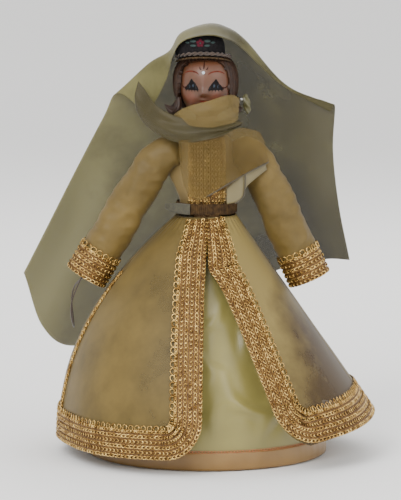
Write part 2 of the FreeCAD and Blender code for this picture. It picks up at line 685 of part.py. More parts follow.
def shoulder_strap():
    """The satin strap that shows between the scarf's lower edge and the left sleeve."""
    upper = smooth_curve(above(SHOULDER_Z, [(10.5, -20.5, -20.5), (15.0, -19.5, -15), (17.2, -16.5, -10)]))
    lower = smooth_curve(above(SHOULDER_Z, [(11.5, -19.5, -27), (15.5, -18, -22), (17.5, -14.5, -17)]))

    def at(u, v):
        return upper(u) * (1 - v) + lower(u) * v
    return sheet_solid(extended(at), 5, 4, 0, SATIN)


DRAPED_OVER_RADIUS = 16.5
VEIL_CLEARANCE = 8.0
VEIL_ROWS = [
    [(-30, 1, -6), (-27, -6, 6), (-23, -10.5, 19), (-13, -16, 30), (0, -18, 33.5),
     (13, -16, 30.5), (22, -11, 20), (27, -5, 8), (30.5, 1, -2)],
    [(-49, 10, 9), (-34, 8, 18), (-23, 6, 28.5), (-12, 6, 35.5), (0, 6, 38),
     (12, 6, 36), (25, 7, 27), (51, 10, -2), (81, 17, -15)],
    [(-66, 19, -23), (-50, 24, -17), (-35, 29, -7), (-19, 34, 4), (0, 36, 9),
     (19, 34, 4), (37, 29, -8), (60, 23, -28), (80, 21, -44)],
    [(-90, 27, -70), (-67, 33, -67), (-45, 40, -64), (-22, 47, -61), (0, 49, -60),
     (22, 47, -62), (44, 40, -66), (66, 32, -74), (84, 26, -80)],
    [(-117, 31, -122), (-102, 44, -150), (-74, 66, -160), (-38, 88, -156), (0, 95, -148),
     (32, 86, -136), (58, 64, -122), (76, 42, -115), (91, 28, -115)],
]


def clear_of_coat(x, y, z):
    """A point of the veil, moved out from the coat where it would come too near."""
    out = math.hypot(x, y)
    if z < WAIST_Z:
        angle = math.atan2(x, -y)
        drop = min((WAIST_Z - z) / (WAIST_Z - hem_height(angle)), 1.0)
        out = max(out, coat_radius(angle, drop) + VEIL_CLEARANCE)
    share = out / math.hypot(x, y)
    return (x * share, y * share, z)


def veil():
    """The large veil: its front hem lies on the cap and its body spreads wide behind the arms.

    Its rows are given around the head's centre, as they fall over a cap of one radius.
    """
    wider = CAP_RADIUS / DRAPED_OVER_RADIUS
    rows = [smooth_curve([clear_of_coat(x * wider, y * wider, z + HEAD_Z) for x, y, z in row]) for row in VEIL_ROWS]

    def at(u, v):
        return smooth_curve([row(u) for row in rows])(v)
    return sheet_solid(extended(at), 21, 15, 0, ORGANZA)


def build():
    """Make every piece."""
    shapes = {}
    foot_and_skirts(shapes)
    torso_pieces(shapes)
    belt_pieces(shapes)
    coat_pieces(shapes)
    arm_pieces(shapes, "right", -1, RIGHT_ARM_LENGTH, held_out(RIGHT_ARM_LENGTH, -1, RIGHT_CUFF_GAP))
    arm_pieces(shapes, "left", 1, LEFT_ARM_LENGTH, held_out(LEFT_ARM_LENGTH, 1, LEFT_CUFF_GAP))
    head_pieces(shapes)
    add(shapes, "hand_string", cord_tube(STRING_POINTS, STRING_DIAMETER))
    add(shapes, "neck_scarf", neck_scarf())
    add(shapes, "shoulder_strap", shoulder_strap())
    add(shapes, "veil", veil())
    return shapes


os.makedirs("parts", exist_ok=True)
for node, shape in build().items():
    box = shape.BoundBox
    print(node, shape.isValid(), len(shape.Solids), round(shape.Volume, 1),
          [round(value, 1) for value in (box.XMin, box.YMin, box.ZMin, box.XMax, box.YMax, box.ZMax)])
    shape.exportStep("parts/" + node + ".step")
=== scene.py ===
import bisect
import math
import bpy
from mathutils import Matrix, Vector, noise
from mathutils.bvhtree import BVHTree


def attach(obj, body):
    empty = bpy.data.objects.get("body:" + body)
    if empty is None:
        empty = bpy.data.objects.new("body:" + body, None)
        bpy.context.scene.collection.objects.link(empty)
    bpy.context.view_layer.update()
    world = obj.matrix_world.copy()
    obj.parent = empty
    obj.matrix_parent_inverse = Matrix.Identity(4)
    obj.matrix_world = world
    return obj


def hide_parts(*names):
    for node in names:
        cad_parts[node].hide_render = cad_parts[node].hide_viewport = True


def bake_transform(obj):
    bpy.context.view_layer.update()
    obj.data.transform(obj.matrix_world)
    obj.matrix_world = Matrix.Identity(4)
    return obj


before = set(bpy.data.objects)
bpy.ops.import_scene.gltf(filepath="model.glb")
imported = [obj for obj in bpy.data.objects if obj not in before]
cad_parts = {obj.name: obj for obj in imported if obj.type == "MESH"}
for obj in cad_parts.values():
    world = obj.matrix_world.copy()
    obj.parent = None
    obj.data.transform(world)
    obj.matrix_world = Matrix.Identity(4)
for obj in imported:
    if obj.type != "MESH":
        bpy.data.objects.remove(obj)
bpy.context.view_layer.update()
noise.seed_set(1)  # the braids' loose stitches then fall the same way in every run

# ---------------------------------------------------------------------------------------------
# Floor, light and camera.  A pale sheet of card under the doll, a large soft light on each side,
# a weaker one behind, and a long lens a little above the waist.
# ---------------------------------------------------------------------------------------------
MM = 0.001
NOISE, WAVE, FACETS = "ShaderNodeTexNoise", "ShaderNodeTexWave", "ShaderNodeTexVoronoi"


def linear(hex_code):
    """Turn an sRGB hex colour into the linear colour that shaders use."""
    parts = [int(hex_code[i:i + 2], 16) / 255 for i in (1, 3, 5)]
    return [p / 12.92 if p <= 0.04045 else ((p + 0.055) / 1.055) ** 2.4 for p in parts] + [1.0]


def add_node(material, kind, settings, links):
    """Add one shader node, set its properties or sockets by name and feed its inputs."""
    made = material.node_tree.nodes.new(kind)
    for key, value in settings.items():
        if isinstance(key, str) and hasattr(made, key):
            setattr(made, key, value)
        else:
            made.inputs[key].default_value = value
    for key, source in links.items():
        material.node_tree.links.new(source, made.inputs[key])
    return made


def start_material(name, settings):
    """A new material with its shader's sockets set."""
    material = bpy.data.materials.new(name)
    material.use_nodes = True
    shader = material.node_tree.nodes["Principled BSDF"]
    for key, value in settings.items():
        shader.inputs[key].default_value = value
    return material, shader


def ramp(material, factor, stops):
    """A colour ramp between sRGB hex stops."""
    made = add_node(material, "ShaderNodeValToRGB", {}, {"Fac": factor})
    while len(made.color_ramp.elements) < len(stops):
        made.color_ramp.elements.new(0.5)
    for element, (place, colour) in zip(made.color_ramp.elements, stops):
        element.position = place
        element.color = linear(colour)
    return made.outputs["Color"]


FLOOR_SIZE = 60.0
bpy.ops.mesh.primitive_plane_add(size=FLOOR_SIZE, location=(0, 0, -0.2 * MM))
floor = bpy.context.object
floor.name = "card_floor"
card, card_shader = start_material("matt_card", {"Roughness": 0.85, "Specular IOR Level": 0.2})
card_spots = add_node(card, NOISE, {"Scale": 30.0, "Detail": 3.0}, {})
card.node_tree.links.new(ramp(card, card_spots.outputs["Fac"], [(0.3, "#F3F2F0"), (0.7, "#F7F6F4")]),
                         card_shader.inputs["Base Color"])
floor.data.materials.append(card)


def soft_light(name, place, aim, size, power):
    """A square soft box at a place, aimed at a point."""
    lamp = bpy.data.lights.new(name, "AREA")
    lamp.size = size
    lamp.energy = power
    holder = bpy.data.objects.new(name, lamp)
    holder.location = place
    holder.rotation_euler = (Vector(aim) - Vector(place)).to_track_quat("-Z", "Y").to_euler()
    bpy.context.scene.collection.objects.link(holder)


waist, chest = (0, 0, 0.13), (0, 0, 0.15)
soft_light("key_light", (-0.55, -1.0, 1.0), waist, 0.7, 15)
soft_light("fill_light", (0.9, -0.8, 0.6), waist, 0.9, 6)
soft_light("back_light", (0.1, 0.9, 0.9), chest, 0.8, 6)
world = bpy.data.worlds.new("studio")
bpy.context.scene.world = world
world.use_nodes = True
world.node_tree.nodes["Background"].inputs["Color"].default_value = (1, 1, 1, 1)
world.node_tree.nodes["Background"].inputs["Strength"].default_value = 1.3

lens = bpy.data.cameras.new("camera")
lens.sensor_fit = "HORIZONTAL"
lens.lens = 427
camera = bpy.data.objects.new("camera", lens)
view_centre = Vector((-0.004, 0, 0.128))
view_rise = math.radians(8)
view_distance = 3.0
camera.location = view_centre + Vector((0, -math.cos(view_rise), math.sin(view_rise))) * view_distance
camera.rotation_euler = (view_centre - camera.location).to_track_quat("-Z", "Y").to_euler()
bpy.context.scene.collection.objects.link(camera)
bpy.context.scene.camera = camera

# ---------------------------------------------------------------------------------------------
# Core of the doll.  Beech disc, post, torso and beads, a steel shoulder wire, cotton wadding and
# a stiff net petticoat.  The costume hides all of it, and the shapes are the frame's own.
# ---------------------------------------------------------------------------------------------


def dress_node(node, material):
    """Give a carried-over piece its finish."""
    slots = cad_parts[node].data.materials
    for i in range(len(slots)):
        slots[i] = material


def finish(piece, material, slot, *nodes):
    """Give a piece its finish and let it stand for the frame's nodes, which get the same finish."""
    if material:
        piece.data.materials.append(material)
    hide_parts(*nodes)
    for node in nodes:
        dress_node(node, material or piece.data.materials[0])


def patterned(name, settings, kind, pattern, stops, relief=None):
    """A material whose colour follows one pattern in the piece's own space, between sRGB hex stops.

    With a relief, a strength and a depth in metres, the same pattern raises the surface too.
    """
    made, shader = start_material(name, settings)
    place = add_node(made, "ShaderNodeTexCoord", {}, {})
    figure = add_node(made, kind, pattern, {"Vector": place.outputs["Object"]})
    value = figure.outputs["Distance" if kind == FACETS else "Fac"]
    made.node_tree.links.new(ramp(made, value, stops), shader.inputs["Base Color"])
    if relief:
        bump = add_node(made, "ShaderNodeBump", {"Strength": relief[0], "Distance": relief[1]},
                        {"Height": value})
        made.node_tree.links.new(bump.outputs["Normal"], shader.inputs["Normal"])
    return made


beech = patterned("planed_beech", {"Roughness": 0.6}, WAVE,
                  {"Scale": 90.0, "Distortion": 3.0, "Detail": 2.0}, [(0.2, "#B58E63"), (0.8, "#C9A577")])
for node in ("base_disc", "body_post", "torso_block", "neck_dowel", "rod_bead_right", "rod_bead_left"):
    dress_node(node, beech)

wire = patterned("drawn_steel_wire", {"Metallic": 1.0, "Roughness": 0.35}, NOISE,
                 {"Scale": 900.0}, [(0.3, "#8F8F8E"), (0.7, "#B5B5B3")])
dress_node("shoulder_rod", wire)

cotton = patterned("cotton_wadding", {"Roughness": 0.95, "Sheen Weight": 0.4}, NOISE,
                   {"Scale": 400.0, "Detail": 5.0}, [(0.3, "#C9C2AC"), (0.7, "#E2DCCB")], (0.6, 0.001))
dress_node("skirt_wadding", cotton)
dress_node("petticoat", cotton)

# ---------------------------------------------------------------------------------------------
# Underskirt.  A gored tube of pale green satin over the petticoat: soft upright folds, and slack
# cloth that buckles into slanting creases where the coat leaves it open at the front.
# ---------------------------------------------------------------------------------------------


def edit_whole(*steps):
    """Run edit operators, each with its settings, on the whole of the active piece."""
    bpy.ops.object.mode_set(mode="EDIT")
    bpy.ops.mesh.select_all(action="SELECT")
    for operator, settings in steps:
        operator(**settings)
    bpy.ops.object.mode_set(mode="OBJECT")


def solidify(piece, thickness, offset=-1.0):
    """Give a surface its thickness in millimetres."""
    bpy.ops.object.modifier_add(type="SOLIDIFY")
    piece.modifiers["Solidify"].thickness = thickness * MM
    piece.modifiers["Solidify"].offset = offset
    bpy.ops.object.modifier_apply(modifier="Solidify")


def lay_cloth(name, columns, rows, place, width, height, thickness):
    """A piece of cloth: a grid whose points lie where place(across, down) says, all in millimetres.

    The piece's own map holds the cloth's real size in metres, so that a weave has its true scale.
    """
    bpy.ops.mesh.primitive_grid_add(x_subdivisions=columns, y_subdivisions=rows, size=1)
    cloth = bpy.context.object
    cloth.name = name
    for corner in cloth.data.uv_layers.active.data:
        corner.uv = (corner.uv[0] * width * MM, corner.uv[1] * height * MM)
    for point in cloth.data.vertices:
        point.co = place(point.co.x + 0.5, 0.5 - point.co.y) * MM
    edit_whole((bpy.ops.mesh.remove_doubles, {"threshold": 0.00002}))
    solidify(cloth, thickness, 0)
    bpy.ops.object.shade_smooth()
    return cloth


def weave(material, thread_mm, strength):
    """Plain weave on the cloth's own map: one set of threads each way, as a bump.

    Real threads are 0.1 to 0.3 mm; they are drawn coarser, so that they don't alias at this size.
    """
    place = add_node(material, "ShaderNodeUVMap", {}, {})
    scale = math.tau / 20 / (thread_mm * MM)
    warp, weft = (add_node(material, WAVE, {"Scale": scale, "bands_direction": way, "Distortion": 0.4},
                           {"Vector": place.outputs["UV"]}) for way in "XY")
    both = add_node(material, "ShaderNodeMath", {"operation": "ADD"},
                    {0: warp.outputs["Fac"], 1: weft.outputs["Fac"]})
    return add_node(material, "ShaderNodeBump", {"Strength": strength, "Distance": 0.0001},
                    {"Height": both.outputs["Value"]})


def satin(name, deep, light, roughness):
    """Acetate satin: long floats that run one way, so it is smooth and catches light in soft bands."""
    made = patterned(
        name, {"Roughness": roughness, "Specular IOR Level": 0.6, "Sheen Weight": 0.15, "Anisotropic": 0.4},
        NOISE, {"Scale": 22.0, "Detail": 3.0}, [(0.3, deep), (0.7, light)])
    shader = made.node_tree.nodes["Principled BSDF"]
    made.node_tree.links.new(weave(made, 0.8, 0.1).outputs["Normal"], shader.inputs["Normal"])
    return made


def around(angle, radius, z):
    """A place around the doll: the angle starts at the front and grows towards its left hand."""
    return Vector((radius * math.sin(angle), -radius * math.cos(angle), z))


WAIST_Z = 152.0
BELL_TOP_Z = 149.0
BELL_LOW_Z = 0.9
BELL_TOP_RADIUS = 15.0
BELL_FOOT_RADIUS = 75.0
BINDING_TOP_Z = 12.0
green_satin = satin("pale_green_satin", "#6E6632", "#928748", 0.34)


def bell_radius(z):
    """The underskirt's own outline."""
    return BELL_TOP_RADIUS + (BELL_FOOT_RADIUS - BELL_TOP_RADIUS) * (1 - (z / BELL_TOP_Z) ** 2)


def smooth_share(share):
    """An eased step from 0 to 1."""
    share = min(max(share, 0.0), 1.0)
    return share * share * (3 - 2 * share)


def skirt_folds(angle, z):
    """How far the satin stands out or in: upright folds, and slanting creases low at the front."""
    low = 1 - z / BELL_TOP_Z
    upright = 0.7 * low * (1 + math.sin(9 * angle + 1.5 * noise.noise(Vector((angle * 2, z * 0.01, 4)))))
    slack = math.exp(-((angle - 0.45) / 0.5) ** 2) * math.sin(math.pi * min(max(z / 105, 0), 1)) ** 0.7
    slant = noise.noise(Vector((angle * 2.2 + z * 0.022, z * 0.035 - angle * 1.4, 1.7)))
    ridge = max(1 - abs(slant) * 3.2, 0)
    return upright + slack * 3.6 * smooth_share(ridge)


def underskirt_place(across, down):
    angle = math.pi * (2 * across - 1)
    z = BELL_LOW_Z + (BELL_TOP_Z - BELL_LOW_Z) * (1 - down)
    low = smooth_share((z - BINDING_TOP_Z - 1) / 24)
    return around(angle, bell_radius(z) - 0.25 + skirt_folds(angle, z) * low, z)


underskirt = lay_cloth("satin_underskirt", 200, 90, underskirt_place, 470, 165, 0.3)
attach(underskirt, "root")
finish(underskirt, green_satin, "green_satin", "underskirt")

# ---------------------------------------------------------------------------------------------
# Hem binding.  A bias strip of gold satin wrapped over the underskirt's raw edge, a little
# puckered, and held by a row of orange-brown overlock stitches along its top.
# ---------------------------------------------------------------------------------------------
gold_satin = satin("gold_satin", "#70501C", "#93703A", 0.38)


def binding_place(across, down):
    angle = math.pi * (2 * across - 1)
    z = BINDING_TOP_Z - 11.4 * down
    pucker = 0.35 * noise.noise(Vector((angle * 14, z * 0.08, 2.0)))
    crown = 0.25 * math.sin(math.pi * down)
    return around(angle, bell_radius(z) + 0.3 + pucker + crown, z)


HEM_LENGTH = 472.0
hem_binding = lay_cloth("satin_hem_binding", 260, 8, binding_place, HEM_LENGTH, 12, 0.3)
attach(hem_binding, "root")
finish(hem_binding, gold_satin, "gold_satin", "underskirt_hem")

thread = patterned("orange_overlock_thread", {"Roughness": 0.6, "Sheen Weight": 0.3}, NOISE,
                   {"Scale": 1500.0}, [(0.3, "#9A4E22"), (0.7, "#C47A43")])


def repeat(piece, count, step):
    """Repeat a piece at equal steps."""
    bpy.ops.object.modifier_add(type="ARRAY")
    array = piece.modifiers["Array"]
    array.count = count
    array.use_relative_offset = False
    array.use_constant_offset = True
    array.constant_offset_displace = step
    bpy.ops.object.modifier_apply(modifier="Array")


STITCH_STEP = 2.0
bpy.ops.mesh.primitive_torus_add(major_segments=8, minor_segments=4, major_radius=1.1 * MM,
                                 minor_radius=0.28 * MM, location=(0, 0, 0))
stitches = bpy.context.object
stitches.name = "overlock_stitches"
repeat(stitches, int(HEM_LENGTH / STITCH_STEP), (STITCH_STEP * MM, 0, 0))
for point in stitches.data.vertices:
    angle = math.tau * point.co.x / (HEM_LENGTH * MM)
    z = BINDING_TOP_Z + 0.2 + 0.6 * point.co.y / MM
    point.co = around(angle, bell_radius(BINDING_TOP_Z) + 0.55 + point.co.z / MM, z) * MM
bpy.ops.object.shade_smooth()
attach(stitches, "root")
finish(stitches, thread, "orange_thread", "hem_stitching")

# ---------------------------------------------------------------------------------------------
# Coat.  Crisp organza cut in two fronts and a back, gathered under the belt and open at the front
# below an apex.  The doll's left front swings aside, the right one hangs straight down.
# ---------------------------------------------------------------------------------------------
HEM_LOW = 9.5
SLIT = math.radians(-82)
LEFT_SEAM = math.radians(88)
BRAID_WIDTH = 20.0
CORNER = 23.0
APEX_Z = 121.0
COAT_TOP_Z = WAIST_Z - 1.0
FRONT_EDGE = math.radians(1.8)
FRONT_SWING = 0.47
COAT_WAIST_RADIUS = 17.2
COAT_FLARE = 75.8
LEFT_FLARE = 13.0


def left_share(angle):
    """0 on the doll's right side, 1 on its left side."""
    return (1 + math.sin(angle)) / 2


def hem_z(angle):
    """The hem lifts towards the doll's left side."""
    return HEM_LOW + 15 * left_share(angle) ** 2.5


def coat_radius(angle, z):
    """The coat's distance from the middle, with soft folds that grow towards the hem."""
    side = left_share(angle)
    drop = min(max((WAIST_Z - z) / (WAIST_Z - hem_z(angle)), 0.0), 1.0)
    spread = 1 - (1 - drop) ** (2.2 - 1.2 * side)
    radius = COAT_WAIST_RADIUS + (COAT_FLARE + LEFT_FLARE * side) * spread
    folds = 1.0 * drop * math.sin(7 * angle + 0.8) + 0.8 * drop * noise.noise(Vector((angle * 3, z * 0.03, 7)))
    gathers = 0.35 * math.sin(40 * angle) * max(0.0, 1 - drop * 9)
    return radius + folds + gathers + 0.3


def coat_place(angle, z):
    return around(angle, coat_radius(angle, z), z)


def left_front(z):
    """The angle of the left front's edge: shut above the apex, then swinging out in a straight line."""
    below = max(0.0, APEX_Z - z)
    return FRONT_EDGE + math.atan2(FRONT_SWING * below + 3.0 * (1 - math.exp(-below / 8)), coat_radius(0.3, z))


def right_front(z):
    return -FRONT_EDGE


def rounding(z, angle):
    """How far the front edge is rounded off near the hem, as a width."""
    up = z - hem_z(angle)
    if up >= CORNER:
        return 0.0
    return CORNER - math.sqrt(max(CORNER ** 2 - (CORNER - up) ** 2, 0.0))


ORGANZA_THREAD = 0.9


def organza(name, deep, light, alpha, span=None):
    """Crisp sheer organza: fine twisted threads with open spaces, so what lies under it tints it.

    With a span, the colour is painted from light to deep between those two distances across the doll: painted
    light and shade, lighter towards the key light.
    """
    made, shader = start_material(name, {"Roughness": 0.52, "Specular IOR Level": 0.3, "Sheen Weight": 0.12,
                                         "Sheen Roughness": 0.4, "Alpha": alpha})
    place = add_node(made, "ShaderNodeTexCoord", {}, {})
    clouds = add_node(made, NOISE, {"Scale": 28.0, "Detail": 4.0, "Roughness": 0.6},
                      {"Vector": place.outputs["Object"]})
    shade = clouds.outputs["Fac"]
    stops = [(0.32, deep), (0.68, light)]
    if span:
        stops = [(0.25, deep), (0.75, light)]
        # Painted shade: the colour darkens along X, away from the key light on the doll's right.
        across = add_node(made, "ShaderNodeSeparateXYZ", {}, {"Vector": place.outputs["Object"]})
        side_shade = add_node(made, "ShaderNodeMapRange", {"From Min": span[0], "From Max": span[1], "To Min": 0.3,
                                                     "To Max": -0.3}, {"Value": across.outputs["X"]})
        shade = add_node(made, "ShaderNodeMath", {"operation": "ADD"},
                         {0: shade, 1: side_shade.outputs["Result"]}).outputs["Value"]
    made.node_tree.links.new(ramp(made, shade, stops), shader.inputs["Base Color"])
    made.node_tree.links.new(weave(made, ORGANZA_THREAD, 0.08).outputs["Normal"], shader.inputs["Normal"])
    return made


gold_organza = organza("gold_organza", "#52431B", "#74602F", 0.78)
# The doll's left front is painted from light to dark brown towards its left side: painted shade, away from the
# key light.
left_front_painted_shade_organza = organza("left_front_painted_shade_organza", "#423012", "#8A7844", 0.78, span=(0.036, 0.066))


def coat_panel(name, start, end, node, flat, cloth=gold_organza):
    """One panel of the coat between two edges, each an angle that depends on the height."""
    def place(across, down):
        angle = 0.5 * (start(60) + end(60))
        for _ in range(2):
            z = COAT_TOP_Z - down * (COAT_TOP_Z - hem_z(angle))
            angle = start(z) + (end(z) - start(z)) * across
        return coat_place(angle, z)
    panel = lay_cloth(name, 90, 90, place, flat[0], flat[1], 0.2)
    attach(panel, "root")
    finish(panel, cloth, "gold_organza", node)


def right_edge(z):
    angle = right_front(z)
    return angle - rounding(z, angle) / coat_radius(angle, z)


def left_edge(z):
    angle = left_front(z)
    return angle + rounding(z, angle) / coat_radius(angle, z)


coat_panel("coat_right_front", lambda z: SLIT, right_edge, "coat_panel_right", (105, 175))
coat_panel("coat_left_front", left_edge, lambda z: LEFT_SEAM, "coat_panel_left", (85, 170), left_front_painted_shade_organza)
coat_panel("coat_back_panel", lambda z: LEFT_SEAM, lambda z: math.tau + SLIT, "coat_back", (215, 170))

# ---------------------------------------------------------------------------------------------
# Gimp braid.  Metallic cord crocheted into chains side by side on a thin web, with a row of open
# loops along one edge.  It is laid on the coat's fronts, round their corners and along the hem.
# ---------------------------------------------------------------------------------------------
gimp, gimp_shader = start_material("gilt_gimp_cord", {"Metallic": 0.8, "Roughness": 0.27})
gimp_place = add_node(gimp, "ShaderNodeTexCoord", {}, {})
gimp_glints = add_node(gimp, FACETS, {"Scale": 1100.0}, {"Vector": gimp_place.outputs["Object"]})
gimp_wear_and_glints = add_node(gimp, NOISE, {"Scale": 260.0, "Detail": 4.0},
                     {"Vector": gimp_place.outputs["Object"]})
gimp_mix = add_node(gimp, "ShaderNodeMath", {"operation": "MULTIPLY_ADD", 1: 0.35, 2: 0.0},
                    {0: gimp_glints.outputs["Distance"]})
gimp_sum = add_node(gimp, "ShaderNodeMath", {"operation": "ADD"},
                    {0: gimp_mix.outputs["Value"], 1: gimp_wear_and_glints.outputs["Fac"]})
# The pale gold top stop, where the facets and the noise peak, is painted glints on the cord; the noise also
# varies its tone.
gimp_stops = [(0.35, "#463010"), (0.55, "#86622C"), (0.85, "#DDBA70")]
gimp.node_tree.links.new(ramp(gimp, gimp_sum.outputs["Value"], gimp_stops), gimp_shader.inputs["Base Color"])
gimp_bump = add_node(gimp, "ShaderNodeBump", {"Strength": 0.5, "Distance": 0.0002},
                     {"Height": gimp_glints.outputs["Distance"]})
gimp.node_tree.links.new(gimp_bump.outputs["Normal"], gimp_shader.inputs["Normal"])

web = patterned("braid_web", {"Roughness": 0.6, "Metallic": 0.3}, NOISE,
                {"Scale": 700.0, "Detail": 2.0}, [(0.3, "#4A3014"), (0.7, "#7E5A2C")])


def onto_coat(point):
    """The nearest place on the coat, and the way out of it."""
    angle = math.atan2(point.x, -point.y)
    z = max(point.z, hem_z(angle))
    spot = coat_place(angle, z)
    along = coat_place(angle + 0.01, z) - coat_place(angle - 0.01, z)
    down = coat_place(angle, max(z - 0.5, 0)) - coat_place(angle, z + 0.5)
    out = down.cross(along).normalized()
    if out.x * math.sin(angle) - out.y * math.cos(angle) < 0:
        out = -out
    return spot, out


def road_along(border, onto, turn):
    """A guide for laying a flat braid: from its length, width and height to a place on the costume."""
    spots = [onto(point) for point in border]
    marks = [0.0]
    for before, after in zip(spots, spots[1:]):
        marks.append(marks[-1] + (after[0] - before[0]).length)

    def place(along, across, height):
        along = min(max(along, 0.0), marks[-1])
        low = min(max(bisect.bisect_right(marks, along) - 1, 0), len(marks) - 2)
        high = low + 1
        share = (along - marks[low]) / max(marks[high] - marks[low], 1e-6)
        spot = spots[low][0].lerp(spots[high][0], share)
        out = spots[low][1].lerp(spots[high][1], share).normalized()
        before = spots[max(low - 2, 0)][0]
        after = spots[min(high + 2, len(spots) - 1)][0]
        inward = out.cross(after - before).normalized() * turn
        here, up = onto(spot + inward * across)
        return here + up * height
    return place, marks[-1]


def lay_flat_piece(piece, place):
    """Carry a piece that was made flat onto the costume."""
    for point in piece.data.vertices:
        loose = noise.noise_vector(point.co * 450) * 0.22
        point.co = place(point.co.y / MM + loose.y, point.co.x / MM + loose.x,
                         point.co.z / MM + 0.5 * loose.z) * MM


def row_of_loops(count, pitch, across, half_width, half_length, cord, tip):
    """A row of equal cord loops along a flat braid: one loop is shaped and then repeated."""
    middle_x, middle_y = across * MM, pitch * MM / 2
    bpy.ops.mesh.primitive_torus_add(major_segments=9, minor_segments=4, major_radius=half_width * MM,
                                     minor_radius=cord * MM, location=(middle_x, middle_y, 1.1 * cord * MM))
    row = bpy.context.object
    bpy.ops.object.transform_apply(location=True, rotation=False, scale=False)
    edit_whole((bpy.ops.transform.resize, {"value": (1, half_length / half_width, 1),
                                           "center_override": (middle_x, middle_y, 0)}),
               (bpy.ops.transform.rotate, {"value": tip, "orient_axis": "X",
                                           "center_override": (middle_x, middle_y, cord * MM)}))
    repeat(row, count, (0, pitch * MM, 0))
    return row


def join(pieces, name):
    """Join pieces into the first of them."""
    bpy.ops.object.select_all(action="DESELECT")
    for piece in pieces:
        piece.select_set(True)
    bpy.context.view_layer.objects.active = pieces[0]
    bpy.ops.object.join()
    joined = bpy.context.object
    joined.name = name
    return joined


def gimp_braid(name, place, length, body, nodes, width=BRAID_WIDTH, chains=6, loops_side=True):
    """Make a braid flat and lay it: a web, chains of links across it, and open loops on one side."""
    rows = []
    link = 2.9
    for chain in range(chains):
        across = 1.1 + (width - 4.2) * chain / max(chains - 1, 1)
        lean = 0.32 if chain % 2 else -0.32
        rows.append(row_of_loops(int(length / link), link, across, 0.95, 2.0, 0.36, lean))
    if loops_side:
        rows.append(row_of_loops(int(length / 4.4), 4.4, width - 1.2, 1.75, 1.9, 0.42, 0.25))
        rows.append(row_of_loops(int(length / 2.2), 2.2, width - 3.2, 0.8, 1.3, 0.34, -0.3))
    bpy.ops.mesh.primitive_grid_add(x_subdivisions=max(int(width / 2), 2), y_subdivisions=int(length / 1.5),
                                    size=1)
    backing = bpy.context.object
    for point in backing.data.vertices:
        point.co = Vector((0.4 + (point.co.x + 0.5) * (width - 3.4), (point.co.y + 0.5) * length, 0.25)) * MM
    solidify(backing, 0.3)
    backing.data.materials.append(web)
    for row in rows:
        row.data.materials.append(gimp)
    braid = join([backing] + rows, name)
    lay_flat_piece(braid, place)
    bpy.ops.object.shade_smooth()
    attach(braid, body)
    finish(braid, None, "gold_braid", *nodes)


def front_border(front, sign, hem_end):
    """The outline of one front, from the belt down its edge, round the corner and along the hem."""
    points = []
    z = 150.0
    while z > hem_z(front(z)) + CORNER:
        points.append(coat_place(front(z), z))
        z -= 1.5
    for i in range(13):
        turn = math.pi / 2 * i / 12
        rough = hem_z(front(20)) + CORNER * (1 - math.sin(turn))
        base = front(rough)
        angle = base + sign * CORNER * (1 - math.cos(turn)) / coat_radius(base, rough)
        points.append(coat_place(angle, hem_z(angle) + CORNER * (1 - math.sin(turn))))
    while (hem_end - angle) * sign > 0:
        angle += sign * 0.015
        points.append(coat_place(angle, hem_z(angle)))
    return points


right_road, right_length = road_along(front_border(right_front, -1, SLIT), onto_coat, -1)
left_road, left_length = road_along(front_border(left_front, 1, LEFT_SEAM), onto_coat, 1)


def lifted(road, lift, widths, lap=0.0):
    """The same guide a little above the cloth, with the braid drawn in where the waist is narrow.

    With a lap, the braid's inner edge leans over the opening for its first 55 mm.
    """
    def place(along, across, height):
        lean = lap * max(1 - along / 55, 0) ** 0.7
        return road(along, across * widths(along) - lean, height + lift)
    return place


def waist_width(along):
    return 0.66 + 0.34 * min(along / 28, 1)


def full_width(along):
    return 1


COAT_LIFT = 0.35
gimp_braid("right_front_braid", lifted(right_road, COAT_LIFT, waist_width, 1.2), right_length, "root",
           ["front_braid_right", "hem_braid_right"])
gimp_braid("left_front_braid", lifted(left_road, COAT_LIFT, waist_width, 1.0), left_length, "root",
           ["front_braid_left", "hem_braid_left"])
back_border = [coat_place(LEFT_SEAM + 0.015 * i, hem_z(LEFT_SEAM + 0.015 * i)) for i in range(222)]
back_road, back_length = road_along(back_border, onto_coat, 1)
gimp_braid("back_hem_braid", lifted(back_road, COAT_LIFT, full_width), back_length, "root", ["hem_braid_back"])
trim_border = [coat_place(SLIT, 116 - 1.5 * i) for i in range(62)]
trim_road, trim_length = road_along(trim_border, onto_coat, 1)
gimp_braid("slit_trim", lifted(trim_road, COAT_LIFT, full_width), trim_length, "root", ["side_trim"],
           width=6.0, chains=2, loops_side=False)

# ---------------------------------------------------------------------------------------------
# Bodice.  Organza laid over satin, smoothed over the carved torso, with two widths of the gimp
# braid sewn side by side down the chest.
# ---------------------------------------------------------------------------------------------
TORSO_HEIGHT = 53.0
TORSO_HALF_WIDTH = 16.2
TORSO_HALF_DEPTH = 15.0


def torso_place(angle, share, out):
    """A place on the torso, a little outside it."""
    top = math.sqrt(max(1 - share ** 10, 0.0))
    half_x = TORSO_HALF_WIDTH * top - 1.2 * (1 - share) ** 2 + out
    half_y = TORSO_HALF_DEPTH * top - 1.8 * (1 - share) ** 2 + out
    return Vector((half_x * math.sin(angle), -half_y * math.cos(angle), WAIST_Z + share * TORSO_HEIGHT))


def bodice_place(across, down):
    angle = math.tau * (across - 0.5)
    share = 0.96 * (1 - down)
    crease = noise.noise(Vector((math.sin(angle) * 3 + share * 4, math.cos(angle) * 3, share * 5)))
    slack = 6.2 * math.exp(-((share - 0.45) / 0.2) ** 2) * abs(math.sin(angle)) ** 12
    tucked = 1.7 * max(1 - share / 0.16, 0)
    spot = torso_place(angle, share, 0.75 + 0.5 * crease + tucked)
    return spot + Vector((math.copysign(slack * (1 + 0.3 * crease), math.sin(angle)), 0, 0))


bodice = lay_cloth("organza_bodice", 96, 30, bodice_place, 100, 53, 0.3)
bodice_satin = satin("dull_gold_satin", "#584720", "#756134", 0.45)
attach(bodice, "root")
finish(bodice, bodice_satin, "gold_organza", "bodice_front", "bodice_back")


